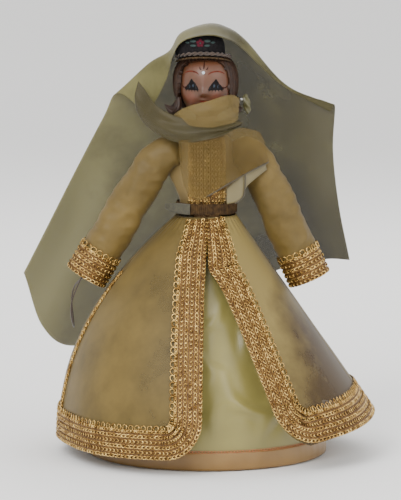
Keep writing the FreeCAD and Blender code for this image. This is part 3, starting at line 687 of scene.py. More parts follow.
def onto_bodice(point):
    """The nearest place on the bodice, and the way out of it."""
    share = min(max((point.z - WAIST_Z) / TORSO_HEIGHT, 0.0), 0.93)
    angle = math.atan2(point.x / TORSO_HALF_WIDTH, -point.y / TORSO_HALF_DEPTH)
    spot = torso_place(angle, share, 0.9)
    return spot, Vector((spot.x, spot.y, 0)).normalized()


for side, name in ((-1, "right"), (1, "left")):
    chest_border = [torso_place(0.012 * side, 0.92 - 0.02 * i, 0.9) for i in range(44)]
    chest_road, chest_length = road_along(chest_border, onto_bodice, side)
    gimp_braid("chest_braid_" + name, lifted(chest_road, 0.5, lambda along: 0.7), chest_length, "root",
               ["bodice_braid_" + name])

# ---------------------------------------------------------------------------------------------
# Belt.  Ribbed grosgrain ribbon around the waist, fastened on the doll's right, where its tapered
# grey-green end shows.
# ---------------------------------------------------------------------------------------------
grosgrain = patterned("brown_grosgrain", {"Roughness": 0.75, "Specular IOR Level": 0.2}, NOISE,
                      {"Scale": 420.0, "Detail": 4.0}, [(0.35, "#281A0A"), (0.65, "#473319")])
RIBS = 92
BELT_RADIUS = 18.75
BELT_TOP_Z = 159.4
BELT_TALL = 7.0


def belt_place(across, down):
    angle = math.tau * across
    rib = 0.22 * math.cos(RIBS * angle)
    edge = 0.25 * (2 * down - 1) ** 6
    return around(angle, BELT_RADIUS + rib - edge, BELT_TOP_Z - BELT_TALL * down)


belt = lay_cloth("ribbed_belt", RIBS * 8, 10, belt_place, 118, 7, 0.5)
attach(belt, "root")
finish(belt, grosgrain, "brown_ribbon", "belt")

belt_end_line = [Vector(spot) for spot in ((-26.0, -9.5, 157.2), (-21.5, -14.5, 156.6), (-10.6, -16.9, 155.9))]


def belt_end_place(across, down):
    first, middle, last = belt_end_line
    spot = first * (1 - across) ** 2 + middle * 2 * across * (1 - across) + last * across ** 2
    return spot + Vector((0, 0, (3.2 + 3.6 * min(across * 1.6, 1)) * (0.5 - down)))


belt_end = lay_cloth("belt_loose_end", 60, 8, belt_end_place, 15, 6, 0.4)
grey_ribbon = patterned("grey_green_ribbon", {"Roughness": 0.6, "Sheen Weight": 0.2}, NOISE,
                        {"Scale": 500.0, "Detail": 4.0}, [(0.35, "#2A2717"), (0.65, "#403C28")])
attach(belt_end, "root")
finish(belt_end, grey_ribbon, "grey_ribbon", "belt_end")

# ---------------------------------------------------------------------------------------------
# Sleeves, linings, stuffed arms and cuffs.  Straight organza sleeves over satin, wrinkled by the
# stuffed arm inside, each finished with a width of the gimp braid around its mouth.
# ---------------------------------------------------------------------------------------------
ARMS = {"right": (-1, 94.0, math.radians(30.8)), "left": (1, 90.0, math.radians(24.0))}
SHOULDER_X = 28.3
SHOULDER_Z = 192.0
SLEEVE_START = -10.0
EMPTY_MOUTH = 22.0
CUFF_RADIUS = 12.9


def arm_axis(side, tilt, along):
    """The middle of an arm at a distance below its shoulder."""
    return Vector((side * (SHOULDER_X + along * math.sin(tilt)), 0, SHOULDER_Z - along * math.cos(tilt)))


def off_axis(side, lean, radius, turn):
    """The step from an arm's middle out to a place on the ring around it."""
    return Vector((side * math.cos(lean) * math.cos(turn), side * math.sin(turn),
                   math.sin(lean) * math.cos(turn))) * radius


def sleeve_radius(length, along):
    """The sleeve's radius, from 10.4 at the shoulder to 12.2 at its mouth."""
    marks = [(SLEEVE_START, 7.0), (0.0, 10.4), (0.2 * length, 11.6), (0.5 * length, 12.4), (length, 12.2)]
    for (low, first), (high, second) in zip(marks, marks[1:]):
        if along <= high:
            return first + (second - first) * smooth_share((along - low) / (high - low))
    return marks[-1][1]


def sleeve_wrinkle(side, along, turn, length):
    """Wrinkles: slanting ones that fan from the armhole, and cross ones that crowd at elbow and cuff."""
    fan = math.sin(turn * 3 + along * 0.16 * side + 2) * 0.5
    crowd = noise.noise(Vector((1.2 * math.cos(turn), along * 0.13, 3.0 * side)))
    cross = (1 - abs(crowd) * 3.0) * 0.6
    near_cuff = smooth_share((length - 14 - along) / 10)
    return (fan + cross) * smooth_share((along + 6) / 16) * (0.15 + 0.85 * near_cuff)


def sleeve_place_for(side, length, tilt):
    """The sleeve: from the armhole on the bodice, over the shoulder, down to the mouth."""
    armhole = Vector((side * 16.4, 0, 190.0))

    def place(across, down):
        turn = math.tau * across
        along = SLEEVE_START + (length - SLEEVE_START) * down
        share = smooth_share((along - SLEEVE_START) / 22)
        middle = armhole.lerp(arm_axis(side, tilt, max(along, 0)), share)
        lean = math.pi / 2 * (1 - share) + tilt * share
        radius = sleeve_radius(length, along) + sleeve_wrinkle(side, along, turn, length)
        return middle + off_axis(side, lean, radius, turn)
    return place


sleeve_organza = organza("sleeve_organza", "#53431C", "#745F30", 0.88)
lining_satin = satin("yellow_green_lining", "#A09A4E", "#C9BE78", 0.4)
for name, (side, length, tilt) in ARMS.items():
    body = name + "_arm"
    cuff_down = (arm_axis(side, tilt, 1) - arm_axis(side, tilt, 0)).normalized()
    sleeve_place = sleeve_place_for(side, length, tilt)
    sleeve = lay_cloth("sleeve_organza_" + name, 72, 90, sleeve_place, 78, length - SLEEVE_START, 0.25)
    sleeve.data.materials.append(sleeve_organza)
    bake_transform(sleeve)
    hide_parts("sleeve_" + name)

    def lining_place(across, down):
        spot = sleeve_place(across, 0.06 + 0.935 * down)
        middle = arm_axis(side, tilt, (spot - arm_axis(side, tilt, 0)).dot(cuff_down))
        return middle + (spot - middle) * 0.93

    lining = lay_cloth("sleeve_lining_" + name + "_satin", 48, 60, lining_place, 72, length, 0.3)
    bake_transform(lining)
    finish(lining, lining_satin, "green_satin", "sleeve_lining_" + name)

    def arm_place(across, down):
        radius = 9.6 * math.sqrt(max(1 - (2 * down - 1) ** 8, 0.0))
        middle = arm_axis(side, tilt, (length - EMPTY_MOUTH) * down)
        return middle + off_axis(side, tilt, radius, math.tau * across)

    arm = lay_cloth("stuffed_arm_" + name, 40, 40, arm_place, 60, length - EMPTY_MOUTH, 0.3)
    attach(arm, body)
    finish(arm, cotton, "wadding", "arm_" + name)

    cuff_middle = arm_axis(side, tilt, length - BRAID_WIDTH)

    def onto_cuff(point):
        """The nearest place on the cuff's cylinder, and the way out of it."""
        along = (point - cuff_middle).dot(cuff_down)
        centre = cuff_middle + cuff_down * along
        out = (point - centre).normalized()
        return centre + out * CUFF_RADIUS, out

    mouth = cuff_middle + cuff_down * BRAID_WIDTH
    ring = [mouth + off_axis(side, tilt, CUFF_RADIUS, math.tau * i / 96) for i in range(97)]
    cuff_road, cuff_length = road_along(ring, onto_cuff, 1)
    gimp_braid("cuff_gimp_" + name, lifted(cuff_road, 0.0, full_width), cuff_length, body,
               ["cuff_braid_" + name])

# ---------------------------------------------------------------------------------------------
# Head and neck.  Hard vinyl, cast in one and sprayed with a glossy tan flesh colour: a soft small
# nose, full rosy cheeks, closed lips and a round chin.  It looks a little to the doll's right.
# ---------------------------------------------------------------------------------------------
HEAD_Z = 232.0
LOOK = math.radians(-7)
HEAD_HALF_WIDTH, HEAD_HALF_DEPTH, HEAD_HALF_HEIGHT = 16.9, 18.6, 20.0
NECK_RADIUS, NECK_LENGTH, NECK_Z = 6.8, 18.0, 212.5


# Nose, bridge, nostrils, cheeks, eye sockets, lips, the line between them, the dip below and the chin.
FACE_MOUNDS = [
    # across, up, half width, half height, rise; the ones beside the middle come in pairs
    (0, -2.4, 2.0, 2.2, 2.1), (0, 1.0, 1.8, 3.6, 0.5), (1.5, -3.4, 1.2, 1.1, 0.5), (8.4, -6.0, 5.0, 5.0, 1.2),
    (7.2, 3.0, 3.8, 3.4, -0.7), (0, -7.2, 2.4, 0.9, 0.8), (0, -8.9, 2.0, 0.9, 0.8),
    (0, -8.05, 2.6, 0.35, -0.4), (0, -11.2, 4.0, 1.0, -0.4), (0, -14.8, 4.0, 2.6, 1.5),
]


def face_rise(x, z):
    """How far the face stands out of the plain head."""
    total = 0.0
    for middle_x, middle_z, wide, tall, height in FACE_MOUNDS:
        for side in ((1, -1) if middle_x else (1,)):
            total += height * math.exp(-((x - side * middle_x) / wide) ** 2 - ((z - middle_z) / tall) ** 2)
    return total


def turned(point):
    """Turn a place on the face to where the head looks."""
    cos, sin = math.cos(LOOK), math.sin(LOOK)
    return Vector((point.x * cos - point.y * sin, point.x * sin + point.y * cos, point.z))


bpy.ops.mesh.primitive_uv_sphere_add(segments=160, ring_count=110, radius=1)
head = bpy.context.object
head.name = "moulded_head"
for point in head.data.vertices:
    way = point.co.copy()
    low = max(-way.z, 0)
    full = math.sqrt((1 - max(way.z, 0) ** 3.2 + 1e-6) / (1 - max(way.z, 0) ** 2 + 1e-6))
    x = HEAD_HALF_WIDTH * way.x * full * (1 - 0.06 * low ** 1.6)
    z = HEAD_HALF_HEIGHT * way.z
    y = HEAD_HALF_DEPTH * way.y * full * (1 - 0.06 * low)
    if way.y < 0:
        y -= face_rise(x, z) * min(-way.y * 1.6, 1)
    point.co = (turned(Vector((x, y, 0))) + Vector((0, 0, HEAD_Z + z))) * MM
bpy.ops.mesh.primitive_cylinder_add(vertices=64, radius=NECK_RADIUS * MM, depth=NECK_LENGTH * MM,
                                    location=(0, 0, NECK_Z * MM))
neck = bpy.context.object
bpy.ops.object.transform_apply(location=True, rotation=False, scale=False)
head.select_set(True)
bpy.context.view_layer.objects.active = head
bpy.ops.object.modifier_add(type="BOOLEAN")
head.modifiers["Boolean"].operation = "UNION"
head.modifiers["Boolean"].object = neck
bpy.ops.object.modifier_apply(modifier="Boolean")
bpy.data.objects.remove(neck)
bpy.ops.object.select_all(action="DESELECT")
head.select_set(True)
bpy.ops.object.shade_smooth_by_angle(angle=math.radians(50))
flesh, flesh_shader = start_material("sprayed_vinyl_flesh", {
    "Roughness": 0.45, "Coat Weight": 0.12, "Coat Roughness": 0.3, "Subsurface Weight": 0.12,
    "Subsurface Scale": 0.002})
flesh_place = add_node(flesh, "ShaderNodeTexCoord", {}, {})
flesh_tone = add_node(flesh, NOISE, {"Scale": 90.0, "Detail": 3.0},
                      {"Vector": flesh_place.outputs["Object"]})
flesh_base = ramp(flesh, flesh_tone.outputs["Fac"], [(0.3, "#4C2D19"), (0.7, "#5A3520")])
blush_masks = []
for side in (-1, 1):
    cheek = turned(Vector((side * 9.0, -16.5, 0))) + Vector((0, 0, HEAD_Z - 6.5))
    span = add_node(flesh, "ShaderNodeVectorMath", {"operation": "DISTANCE", 1: tuple(cheek * MM)},
                    {0: flesh_place.outputs["Object"]})
    near = add_node(flesh, "ShaderNodeMapRange", {"interpolation_type": "SMOOTHSTEP", "From Min": 0.001,
                                                  "From Max": 0.007, "To Min": 1.0, "To Max": 0.0},
                    {"Value": span.outputs["Value"]})
    blush_masks.append(near.outputs["Result"])
blush = add_node(flesh, "ShaderNodeMath", {"operation": "ADD", "use_clamp": True},
                 {0: blush_masks[0], 1: blush_masks[1]})
blush_soft = add_node(flesh, "ShaderNodeMath", {"operation": "MULTIPLY", 1: 0.42}, {0: blush.outputs["Value"]})
flesh_mix = add_node(flesh, "ShaderNodeMix", {"data_type": "RGBA", 7: tuple(linear("#7A3A24"))},
                     {0: blush_soft.outputs["Value"], 6: flesh_base})
flesh.node_tree.links.new(flesh_mix.outputs[2], flesh_shader.inputs["Base Color"])
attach(head, "head_group")
finish(head, flesh, "painted_face", "head")

# ---------------------------------------------------------------------------------------------
# Painted features.  Enamel strokes laid on the face by hand: thin arched brows, black eyes with
# lashes and a blue-grey shine, dark brown wing strokes, a small mouth and a forehead mark.
# ---------------------------------------------------------------------------------------------
face_tree = BVHTree.FromObject(head, bpy.context.evaluated_depsgraph_get())


def enamel(name, deep, light):
    """Smooth enamel, brushed on thin."""
    return patterned(name, {"Roughness": 0.35, "Specular IOR Level": 0.08}, NOISE,
                     {"Scale": 500.0}, [(0.3, deep), (0.7, light)])


def between(before, first, last, after, f):
    """A place on the smooth curve from first to last, which the points on either side steer."""
    return 0.5 * (first * 2 + (last - before) * f + (before * 2 - first * 5 + last * 4 - after) * f * f
                  + (first * 3 - before - last * 3 + after) * f ** 3)


def paint(name, strokes, lift, material, mirrored=True):
    """Paint strokes on the face: each is a list of (across, up, width) in millimetres from its middle."""
    pieces = []
    for sign in ((1, -1) if mirrored else (1,)):
        for stroke in strokes:
            steps = 5 * (len(stroke) - 1)
            bpy.ops.mesh.primitive_grid_add(x_subdivisions=4, y_subdivisions=steps, size=1)
            mark = bpy.context.object
            for point in mark.data.vertices:
                share = min(max(point.co.y + 0.5, 0), 1) * (len(stroke) - 1)
                i = min(int(share), len(stroke) - 2)
                first, last = Vector(stroke[i]), Vector(stroke[i + 1])
                before = Vector(stroke[max(i - 1, 0)])
                after = Vector(stroke[min(i + 2, len(stroke) - 1)])
                spot = between(before, first, last, after, share - i)
                way = Vector((last.x - first.x, last.y - first.y)).normalized()
                x = (spot.x + way.y * spot.z * point.co.x) * sign
                z = spot.y - way.x * spot.z * point.co.x
                start = turned(Vector((x, -60, 0))) + Vector((0, 0, HEAD_Z - 0.6 + z))
                hit, out, _face, _far = face_tree.ray_cast(start * MM, turned(Vector((0, 1, 0))))
                point.co = hit + out * lift * MM
            outward = [(bpy.ops.mesh.flip_normals, {})] if sign > 0 else []
            edit_whole((bpy.ops.mesh.remove_doubles, {"threshold": 0.00001}), *outward)
            pieces.append(mark)
    made = join(pieces, name)
    solidify(made, 0.06)
    bpy.ops.object.shade_smooth()
    made.data.materials.append(material)
    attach(made, "head_group")


EYE_X = 7.4
black_enamel = enamel("black_enamel", "#0C0A0A", "#171313")
brown_enamel = enamel("red_brown_enamel", "#4A1E14", "#6A2D1D")
blue_enamel = enamel("blue_grey_enamel", "#20262D", "#38424D")
red_enamel = enamel("lip_red_enamel", "#58201A", "#702A20")
dark_enamel = enamel("dark_brown_enamel", "#2A1510", "#3A1F18")
paint("painted_eyes", [[(EYE_X + 0.3, 6.6, 0.4), (EYE_X + 0.2, 5.0, 2.6), (EYE_X, 3.4, 5.0), (EYE_X, 1.6, 7.6),
                        (EYE_X + 0.1, 0.2, 9.2), (EYE_X + 0.1, -0.3, 8.6)]], 0.10, black_enamel)
lashes = [[(EYE_X + 1.3 * k, 0.6, 0.5), (EYE_X + 1.5 * k, -0.5, 0.45), (EYE_X + 1.8 * k, -1.3, 0.1)]
          for k in (-2.4, -1.2, 0, 1.2, 2.4)]
paint("painted_lashes", lashes, 0.08, black_enamel)
paint("painted_eye_shine", [[(EYE_X - 1.0, 3.4, 0.3), (EYE_X - 0.8, 2.4, 1.1), (EYE_X - 1.1, 1.4, 0.5)]],
      0.2, blue_enamel)
paint("painted_eye_lines", [[(EYE_X + 1.6, 3.0, 0.2), (EYE_X + 1.2, 1.8, 0.45), (EYE_X + 1.5, 0.8, 0.2)]],
      0.2, blue_enamel)
paint("painted_wings", [[(EYE_X + 3.8, 1.3, 0.9), (EYE_X + 5.2, 0.9, 0.7), (EYE_X + 6.6, 1.7, 0.5),
                         (EYE_X + 7.4, 3.0, 0.2)]], 0.14, dark_enamel)
paint("painted_brows", [[(3.0, 9.6, 0.3), (4.8, 10.8, 0.75), (8.0, 11.3, 0.8), (10.8, 10.7, 0.6),
                         (12.4, 9.6, 0.25)]], 0.1, brown_enamel)
lips = [[(-2.6, -7.6, 0.3), (-1.2, -7.3, 1.0), (0, -7.6, 0.9), (1.2, -7.3, 1.0), (2.6, -7.6, 0.3)],
        [(-1.3, -8.3, 0.3), (0, -8.8, 1.4), (1.3, -8.3, 0.3)]]
paint("painted_mouth", lips, 0.1, red_enamel, mirrored=False)
paint("painted_nostrils", [[(0.9, -4.3, 0.3), (1.2, -4.2, 0.4), (1.5, -4.0, 0.2)]], 0.1, brown_enamel)
paint("painted_forehead_mark", [[(0, 12.8, 0.45), (0.1, 14.6, 0.8), (0, 17.4, 0.4)]], 0.1, dark_enamel,
      mirrored=False)
paint("painted_forehead_sides", [[(1.5, 12.4, 0.35), (2.3, 13.0, 0.6), (2.6, 14.2, 0.3)]], 0.1, dark_enamel)

# ---------------------------------------------------------------------------------------------
# Hair.  Dark brown vinyl cast as a combed mass: parted at the middle, combed back over the ears,
# with a flip curling out at each jaw.
# ---------------------------------------------------------------------------------------------
hair_paint = patterned("painted_vinyl_hair", {"Roughness": 0.5, "Specular IOR Level": 0.3}, NOISE,
                       {"Scale": 350.0, "Detail": 4.0}, [(0.3, "#1E110A"), (0.7, "#372113")])
bpy.ops.mesh.primitive_uv_sphere_add(segments=200, ring_count=120, radius=1)
hair = bpy.context.object
for point in hair.data.vertices:
    way = point.co.copy()
    turn = math.atan2(way.x, way.y)
    full = math.sqrt((1 - max(way.z, 0) ** 2.8 + 1e-6) / (1 - max(way.z, 0) ** 2 + 1e-6))
    flow = turn * 44 + 1.6 * noise.noise(way * 4) + 2.0 * way.z
    strand = (0.20 * math.sin(flow) + 0.12 * math.sin(flow * 2.3)) * min(math.hypot(way.x, way.y) * 2.5, 1)
    shell = Vector((20.5 * way.x * full - 0.7, 2 + 20.6 * way.y * full, HEAD_Z + 1 + 21.4 * way.z))
    point.co = shell * MM + way * strand * MM
bpy.ops.object.mode_set(mode="EDIT")
bpy.ops.mesh.select_all(action="DESELECT")
bpy.ops.object.mode_set(mode="OBJECT")
for face in hair.data.polygons:
    middle = face.center / MM
    back = Vector((middle.x * math.cos(LOOK) + middle.y * math.sin(LOOK),
                   middle.y * math.cos(LOOK) - middle.x * math.sin(LOOK), middle.z))
    arch = (abs(back.x + 0.9) / 16.6) ** 2.6 + (max(back.z - HEAD_Z, 0) / 18.5) ** 2.6 < 1
    face.select = (arch and back.y < 0) or middle.z < HEAD_Z - 16
bpy.ops.object.mode_set(mode="EDIT")
bpy.ops.mesh.delete(type="FACE")
bpy.ops.object.mode_set(mode="OBJECT")
solidify(hair, 2.4)
flips = []
for start, middle, tip, thick in (((-18.5, -4, 224), (-20.5, -5, 217.5), (-27.0, -5, 221.5), 3.4),
                                  ((-17.5, -7, 226), (-18.6, -8, 219), (-22.5, -9, 216.5), 2.4),
                                  ((18.0, -4, 224), (19.0, -5, 218.5), (22.5, -5, 219.0), 3.0),
                                  ((17.0, -7, 226), (17.6, -8, 220), (19.5, -9, 217.5), 2.2)):
    bpy.ops.mesh.primitive_uv_sphere_add(segments=40, ring_count=28, radius=1)
    lock = bpy.context.object
    a, b, c = Vector(start), Vector(middle) * 2 - (Vector(start) + Vector(tip)) / 2, Vector(tip)
    for point in lock.data.vertices:
        way = point.co.copy()
        share = (1 - way.z) / 2
        spine = a * (1 - share) ** 2 + b * 2 * share * (1 - share) + c * share ** 2
        wide = thick * math.sin(math.pi * min(share * 0.9 + 0.12, 1)) ** 0.7
        turn = math.atan2(way.y, way.x)
        ridge = 1 + 0.10 * math.sin(turn * 7 + share * 3)
        away = (b - a).lerp(c - b, share).normalized()
        side_way = Vector((0, 1, 0))
        other = away.cross(side_way).normalized()
        point.co = (spine + (side_way * math.cos(turn) + other * math.sin(turn)) * wide * ridge
                    * math.sqrt(max(1 - way.z ** 2, 0)) ** 0.4) * MM
    flips.append(lock)
join([hair] + flips, "combed_hair")
edit_whole((bpy.ops.mesh.normals_make_consistent, {"inside": False}))
bpy.ops.object.shade_smooth_by_angle(angle=math.radians(60))
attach(hair, "head_group")
finish(hair, hair_paint, "painted_hair", "hair")

# ---------------------------------------------------------------------------------------------
# Cap.  A stiff drum of charcoal velvet with a rolled brown edge, a small flower in satin stitch
# at its front, and a twisted chain of dull gold along the hairline with a clear stone under it.
# ---------------------------------------------------------------------------------------------
velvet = patterned("charcoal_velvet", {"Roughness": 0.95, "Specular IOR Level": 0.15, "Sheen Weight": 0.03,
                                       "Sheen Roughness": 0.35}, NOISE,
                   {"Scale": 600.0, "Detail": 5.0}, [(0.3, "#0D0B0C"), (0.7, "#1C191A")], (0.5, 0.0003))
CAP_X = -4.2
CAP_Z = 251.0
CAP_TALL = 14.0
CAP_RADIUS = 15.6
bpy.ops.mesh.primitive_uv_sphere_add(segments=96, ring_count=64, radius=1)
cap = bpy.context.object
cap.name = "velvet_cap"
for point in cap.data.vertices:
    way = point.co.copy()
    flat = Vector((way.x, way.y))
    share = flat.length
    around_way = flat.normalized() if share > 1e-6 else Vector((1, 0))
    radius = CAP_RADIUS * share ** 0.34
    sag = 0.35 * noise.noise(Vector((way.x * 3, way.y * 3, way.z * 2)))
    z = CAP_Z + (CAP_TALL * way.z ** 0.62 if way.z >= 0 else -1.6 * min(-way.z * 2, 1))
    z += 3.2 * max(0, -around_way.y) * (1 - max(way.z, 0))
    point.co = Vector((CAP_X + around_way.x * radius, around_way.y * radius, z + sag)) * MM
bpy.ops.object.shade_smooth_by_angle(angle=math.radians(60))
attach(cap, "head_group")
finish(cap, velvet, "black_velvet", "cap")

brown_cord = patterned("brown_rayon_cord", {"Roughness": 0.5, "Sheen Weight": 0.2}, NOISE,
                       {"Scale": 800.0, "Detail": 3.0}, [(0.3, "#24170D"), (0.7, "#43301F")])


def twisted_ring(name, radius_x, radius_y, centre, thick, strands, arch, start, end, material, slot_name,
                 node):
    """A cord of twisted strands around the head, from angle to angle, which may arch at the front."""
    pieces = []
    for strand in range(strands):
        bpy.ops.mesh.primitive_grid_add(x_subdivisions=8, y_subdivisions=150, size=1)
        tube = bpy.context.object
        for point in tube.data.vertices:
            share = point.co.y + 0.5
            turn = math.tau * (point.co.x + 0.5)
            angle = start + (end - start) * share
            wind = angle * 14 + math.tau * strand / strands
            middle = Vector((centre[0] + radius_x * math.sin(angle), centre[1] - radius_y * math.cos(angle),
                             centre[2] + arch * math.cos(angle)))
            out = Vector((math.sin(angle), -math.cos(angle), 0))
            up = Vector((0, 0, 1))
            off = out * math.cos(wind) * thick * 0.5 + up * math.sin(wind) * thick * 0.5
            point.co = (middle + off + (out * math.cos(turn) + up * math.sin(turn)) * thick * 0.56) * MM
        pieces.append(tube)
    made = join(pieces, name)
    edit_whole((bpy.ops.mesh.remove_doubles, {"threshold": 0.00001}), (bpy.ops.mesh.fill_holes, {"sides": 16}),
               (bpy.ops.mesh.normals_make_consistent, {"inside": False}))
    bpy.ops.object.shade_smooth()
    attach(made, "head_group")
    finish(made, material, slot_name, node)


twisted_ring("rolled_cap_edge", 16.6, 16.4, (CAP_X * 0.5, 0, 250.4), 1.2, 2, 3.6, -math.pi, math.pi, brown_cord,
             "brown_roll", "cap_trim")
old_gold = patterned("tarnished_gilt_brass", {"Metallic": 0.7, "Roughness": 0.4}, NOISE,
                     {"Scale": 700.0, "Detail": 4.0}, [(0.35, "#2A1E12"), (0.65, "#57432A")])
twisted_ring("hairline_gilt_chain", 17.4, 16.4, (CAP_X * 0.5, 1.0, 246.8), 0.65, 3, 4.6,
             math.radians(-78), math.radians(78), old_gold, "old_gold_chain", "hairline_chain")

silk_finish = {"Roughness": 0.6, "Specular IOR Level": 0.1}
petal_thread = patterned("pink_and_grey_silk", silk_finish, WAVE,
                         {"Scale": 420.0, "bands_direction": "Z", "Distortion": 1.0},
                         [(0.2, "#380E18"), (0.8, "#561826")])
leaf_thread = patterned("grey_teal_silk", silk_finish, WAVE,
                        {"Scale": 420.0, "bands_direction": "X", "Distortion": 1.0},
                        [(0.2, "#1E2B2B"), (0.8, "#3C4A46")])
FLOWER_Z = 260.4
petals = [(1.5 * math.sin(math.tau * k / 5), 1.5 * math.cos(math.tau * k / 5), 1.15, 1.15) for k in range(5)]
leaves = [(-4.6, 1.2, 2.1, 0.9), (4.6, 1.2, 2.1, 0.9), (-4.4, -1.6, 1.9, 0.8), (4.4, -1.6, 1.9, 0.8),
          (-8.0, 0.2, 1.4, 0.7), (8.0, 0.2, 1.4, 0.7), (0, 0, 0.6, 0.6)]
for name, places, material in (("silk_flower", petals, petal_thread), ("silk_leaves", leaves, leaf_thread)):
    bits = []
    for across, up, wide, tall in places:
        bpy.ops.mesh.primitive_uv_sphere_add(segments=20, ring_count=12, radius=1)
        bit = bpy.context.object
        for point in bit.data.vertices:
            x = across + point.co.x * wide
            stitch = 1 + 0.08 * math.sin(point.co.x * 14)
            z = FLOWER_Z + up + point.co.z * tall
            lean = min((z - CAP_Z - 1) / CAP_TALL, 0.98) ** (1 / 0.62)
            drum = CAP_RADIUS * (1 - lean ** 2) ** 0.17
            depth = -math.sqrt(drum ** 2 - x ** 2) + point.co.y * 0.75 * stitch
            point.co = Vector((CAP_X + x, depth, z)) * MM
        bits.append(bit)
    made = join(bits, name)
    bpy.ops.object.shade_smooth()
    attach(made, "head_group")
    finish(made, material, "cap_flower", "cap_embroidery")

# The stone's facets are painted pale and grey: painted sparkle and reflections on the clear glass.
sparkle_painted_glass = patterned("clear_cut_glass", {"Roughness": 0.04, "IOR": 1.55, "Coat Weight": 0.6}, FACETS,
                  {"Scale": 1800.0}, [(0.1, "#E9EDF2"), (0.7, "#9AA3AD")])
bpy.ops.mesh.primitive_ico_sphere_add(subdivisions=2, radius=1)
jewel = bpy.context.object
jewel.name = "forehead_stone"
before_brow = turned(Vector((0, -60, 0))) + Vector((0, 0, HEAD_Z + 10))
seat_hit, seat_out, _face, _far = face_tree.ray_cast(before_brow * MM, turned(Vector((0, 1, 0))))
frame_out = seat_out.to_track_quat("Z", "Y").to_matrix()
for point in jewel.data.vertices:
    cut = Vector((point.co.x * 1.05, point.co.y * 1.05, point.co.z * 0.8 + 0.35))
    point.co = seat_hit + frame_out @ cut * MM
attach(jewel, "head_group")
finish(jewel, sparkle_painted_glass, "clear_stone", "forehead_jewel")

# ---------------------------------------------------------------------------------------------
# Face veil, its pin and the rolled end of the scarf.  A short strip of gold organza curves in front
# of the chin, pinned to the hair at the doll's left temple beside a twist of yellow-green satin.
# ---------------------------------------------------------------------------------------------


def curve_through(points):
    """A smooth curve through points, read by a share of its length."""
    spots = [Vector(point) for point in points]
    marks = [0.0]
    for before, after in zip(spots, spots[1:]):
        marks.append(marks[-1] + (after - before).length)

    def at(share):
        along = min(max(share, 0.0), 1.0) * marks[-1]
        i = 0
        while i < len(spots) - 2 and marks[i + 1] < along:
            i += 1
        f = (along - marks[i]) / (marks[i + 1] - marks[i])
        first, last = spots[i], spots[i + 1]
        before = spots[i - 1] if i > 0 else first * 2 - last
        after = spots[i + 2] if i + 2 < len(spots) else last * 2 - first
        return between(before, first, last, after, f)
    return at


veil_upper = curve_through([
    (-20.5, -12.5, 215.5), (-17.0, -17.5, 218.5), (-10.5, -22.5, 222.0), (0, -25.2, 225.0),
    (10.5, -22.5, 228.0), (16.5, -17.5, 228.0), (20.5, -13.0, 225.5)])
veil_lower = curve_through([
    (-20.5, -13.0, 212.5), (-16.5, -19.0, 210.5), (-8.5, -24.5, 208.0), (2, -27.0, 206.5),
    (11.0, -25.0, 207.5), (16.5, -20.5, 210.0), (19.5, -15.5, 213.0)])


def face_veil_place(across, down):
    spot = veil_upper(across).lerp(veil_lower(across), down)
    pull = 0.7 * math.sin(down * 17 + across * 4) * smooth_share((across - 0.3) / 0.7)
    soft = 0.5 * noise.noise(spot * 0.12)
    return spot + Vector((0, -1.2 * math.sin(math.pi * down) - pull - soft, 0))


face_organza = organza("face_veil_organza", "#5A4A20", "#756234", 0.6)
face_cloth = lay_cloth("organza_face_veil", 70, 30, face_veil_place, 50, 19, 0.15)
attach(face_cloth, "head_group")
finish(face_cloth, face_organza, "gold_organza", "face_veil")

dress_node("veil_pin", wire)
bpy.ops.mesh.primitive_uv_sphere_add(segments=64, ring_count=40, radius=1)
twist = bpy.context.object
twist.name = "satin_twist"
for point in twist.data.vertices:
    way = point.co.copy()
    turn = math.atan2(way.y, way.x)
    ridge = 1 + 0.16 * math.sin(turn * 3 + way.z * 7)
    slump = 1.2 * math.sin(way.z * 2.2)
    roll = Vector((way.x * 2.3 * ridge - slump * 0.5, way.y * 2.3 * ridge, way.z * 6.4))
    point.co = (Vector((25.0, -3.0, 221.0)) + roll) * MM
bpy.ops.object.shade_smooth()
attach(twist, "head_group")
finish(twist, satin("olive_satin", "#3A3612", "#524C1C", 0.35), "olive_organza", "veil_twist")

# ---------------------------------------------------------------------------------------------
# Shoulder strap.  A flat band of pale satin that runs from the belt up to the doll's left shoulder,
# under the scarf's slanting edge.
# ---------------------------------------------------------------------------------------------
strap_upper = curve_through([
    (12.5, -19.0, 169.5), (20, -18.0, 176), (28, -15.3, 181), (36.5, -12.8, 185.5)])
strap_lower = curve_through([
    (12.5, -18.6, 159.6), (18.5, -18.2, 161), (22.8, -17.6, 164.5), (24.6, -17, 170), (29.5, -15, 174.5),
    (37.5, -12.8, 180.8)])


def strap_place(across, down):
    spot = strap_upper(across).lerp(strap_lower(across), down)
    return spot + Vector((0, -0.5 * math.sin(math.pi * down) - 0.3 * math.sin(across * 9), 0))


strap = lay_cloth("shoulder_strap_satin", 50, 10, strap_place, 32, 7, 0.4)
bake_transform(strap)
finish(strap, satin("pale_strap_satin", "#564B2A", "#736842", 0.4), "gold_satin", "shoulder_strap")

# ---------------------------------------------------------------------------------------------
# Neck scarf.  Doubled olive organza: a stiff free end stands beside the hair, the rest passes
# under the chin in soft folds and lies over the doll's left shoulder.
# ---------------------------------------------------------------------------------------------
collar_upper = curve_through([
    (-43, 0, 235), (-34, -10, 224), (-25, -16, 217.5), (-15, -20.5, 214), (0, -23, 212.5),
    (12, -21.5, 212.5), (21.5, -17.0, 212)])
collar_lower = curve_through([
    (-44.5, -2, 217), (-38, -8, 208), (-30, -15.5, 202.5), (-18, -24, 199), (-4, -28, 200.5),
    (10, -27.0, 204), (21.5, -18.5, 209.5)])


def collar_place(across, down):
    spot = collar_upper(across).lerp(collar_lower(across), down)
    hold = smooth_share((across - 0.1) / 0.3)
    folds = 0.8 * math.sin(down * 11 + across * 3 + 1.2 * noise.noise(Vector((across * 3, down * 2, 5))))
    soft = 0.9 * noise.noise(Vector((across * 5, down * 3, 9)))
    out = Vector((spot.x * 0.5, -25, 0)).normalized()
    return spot + out * (folds * hold + soft + 2.0 * math.sin(math.pi * down))


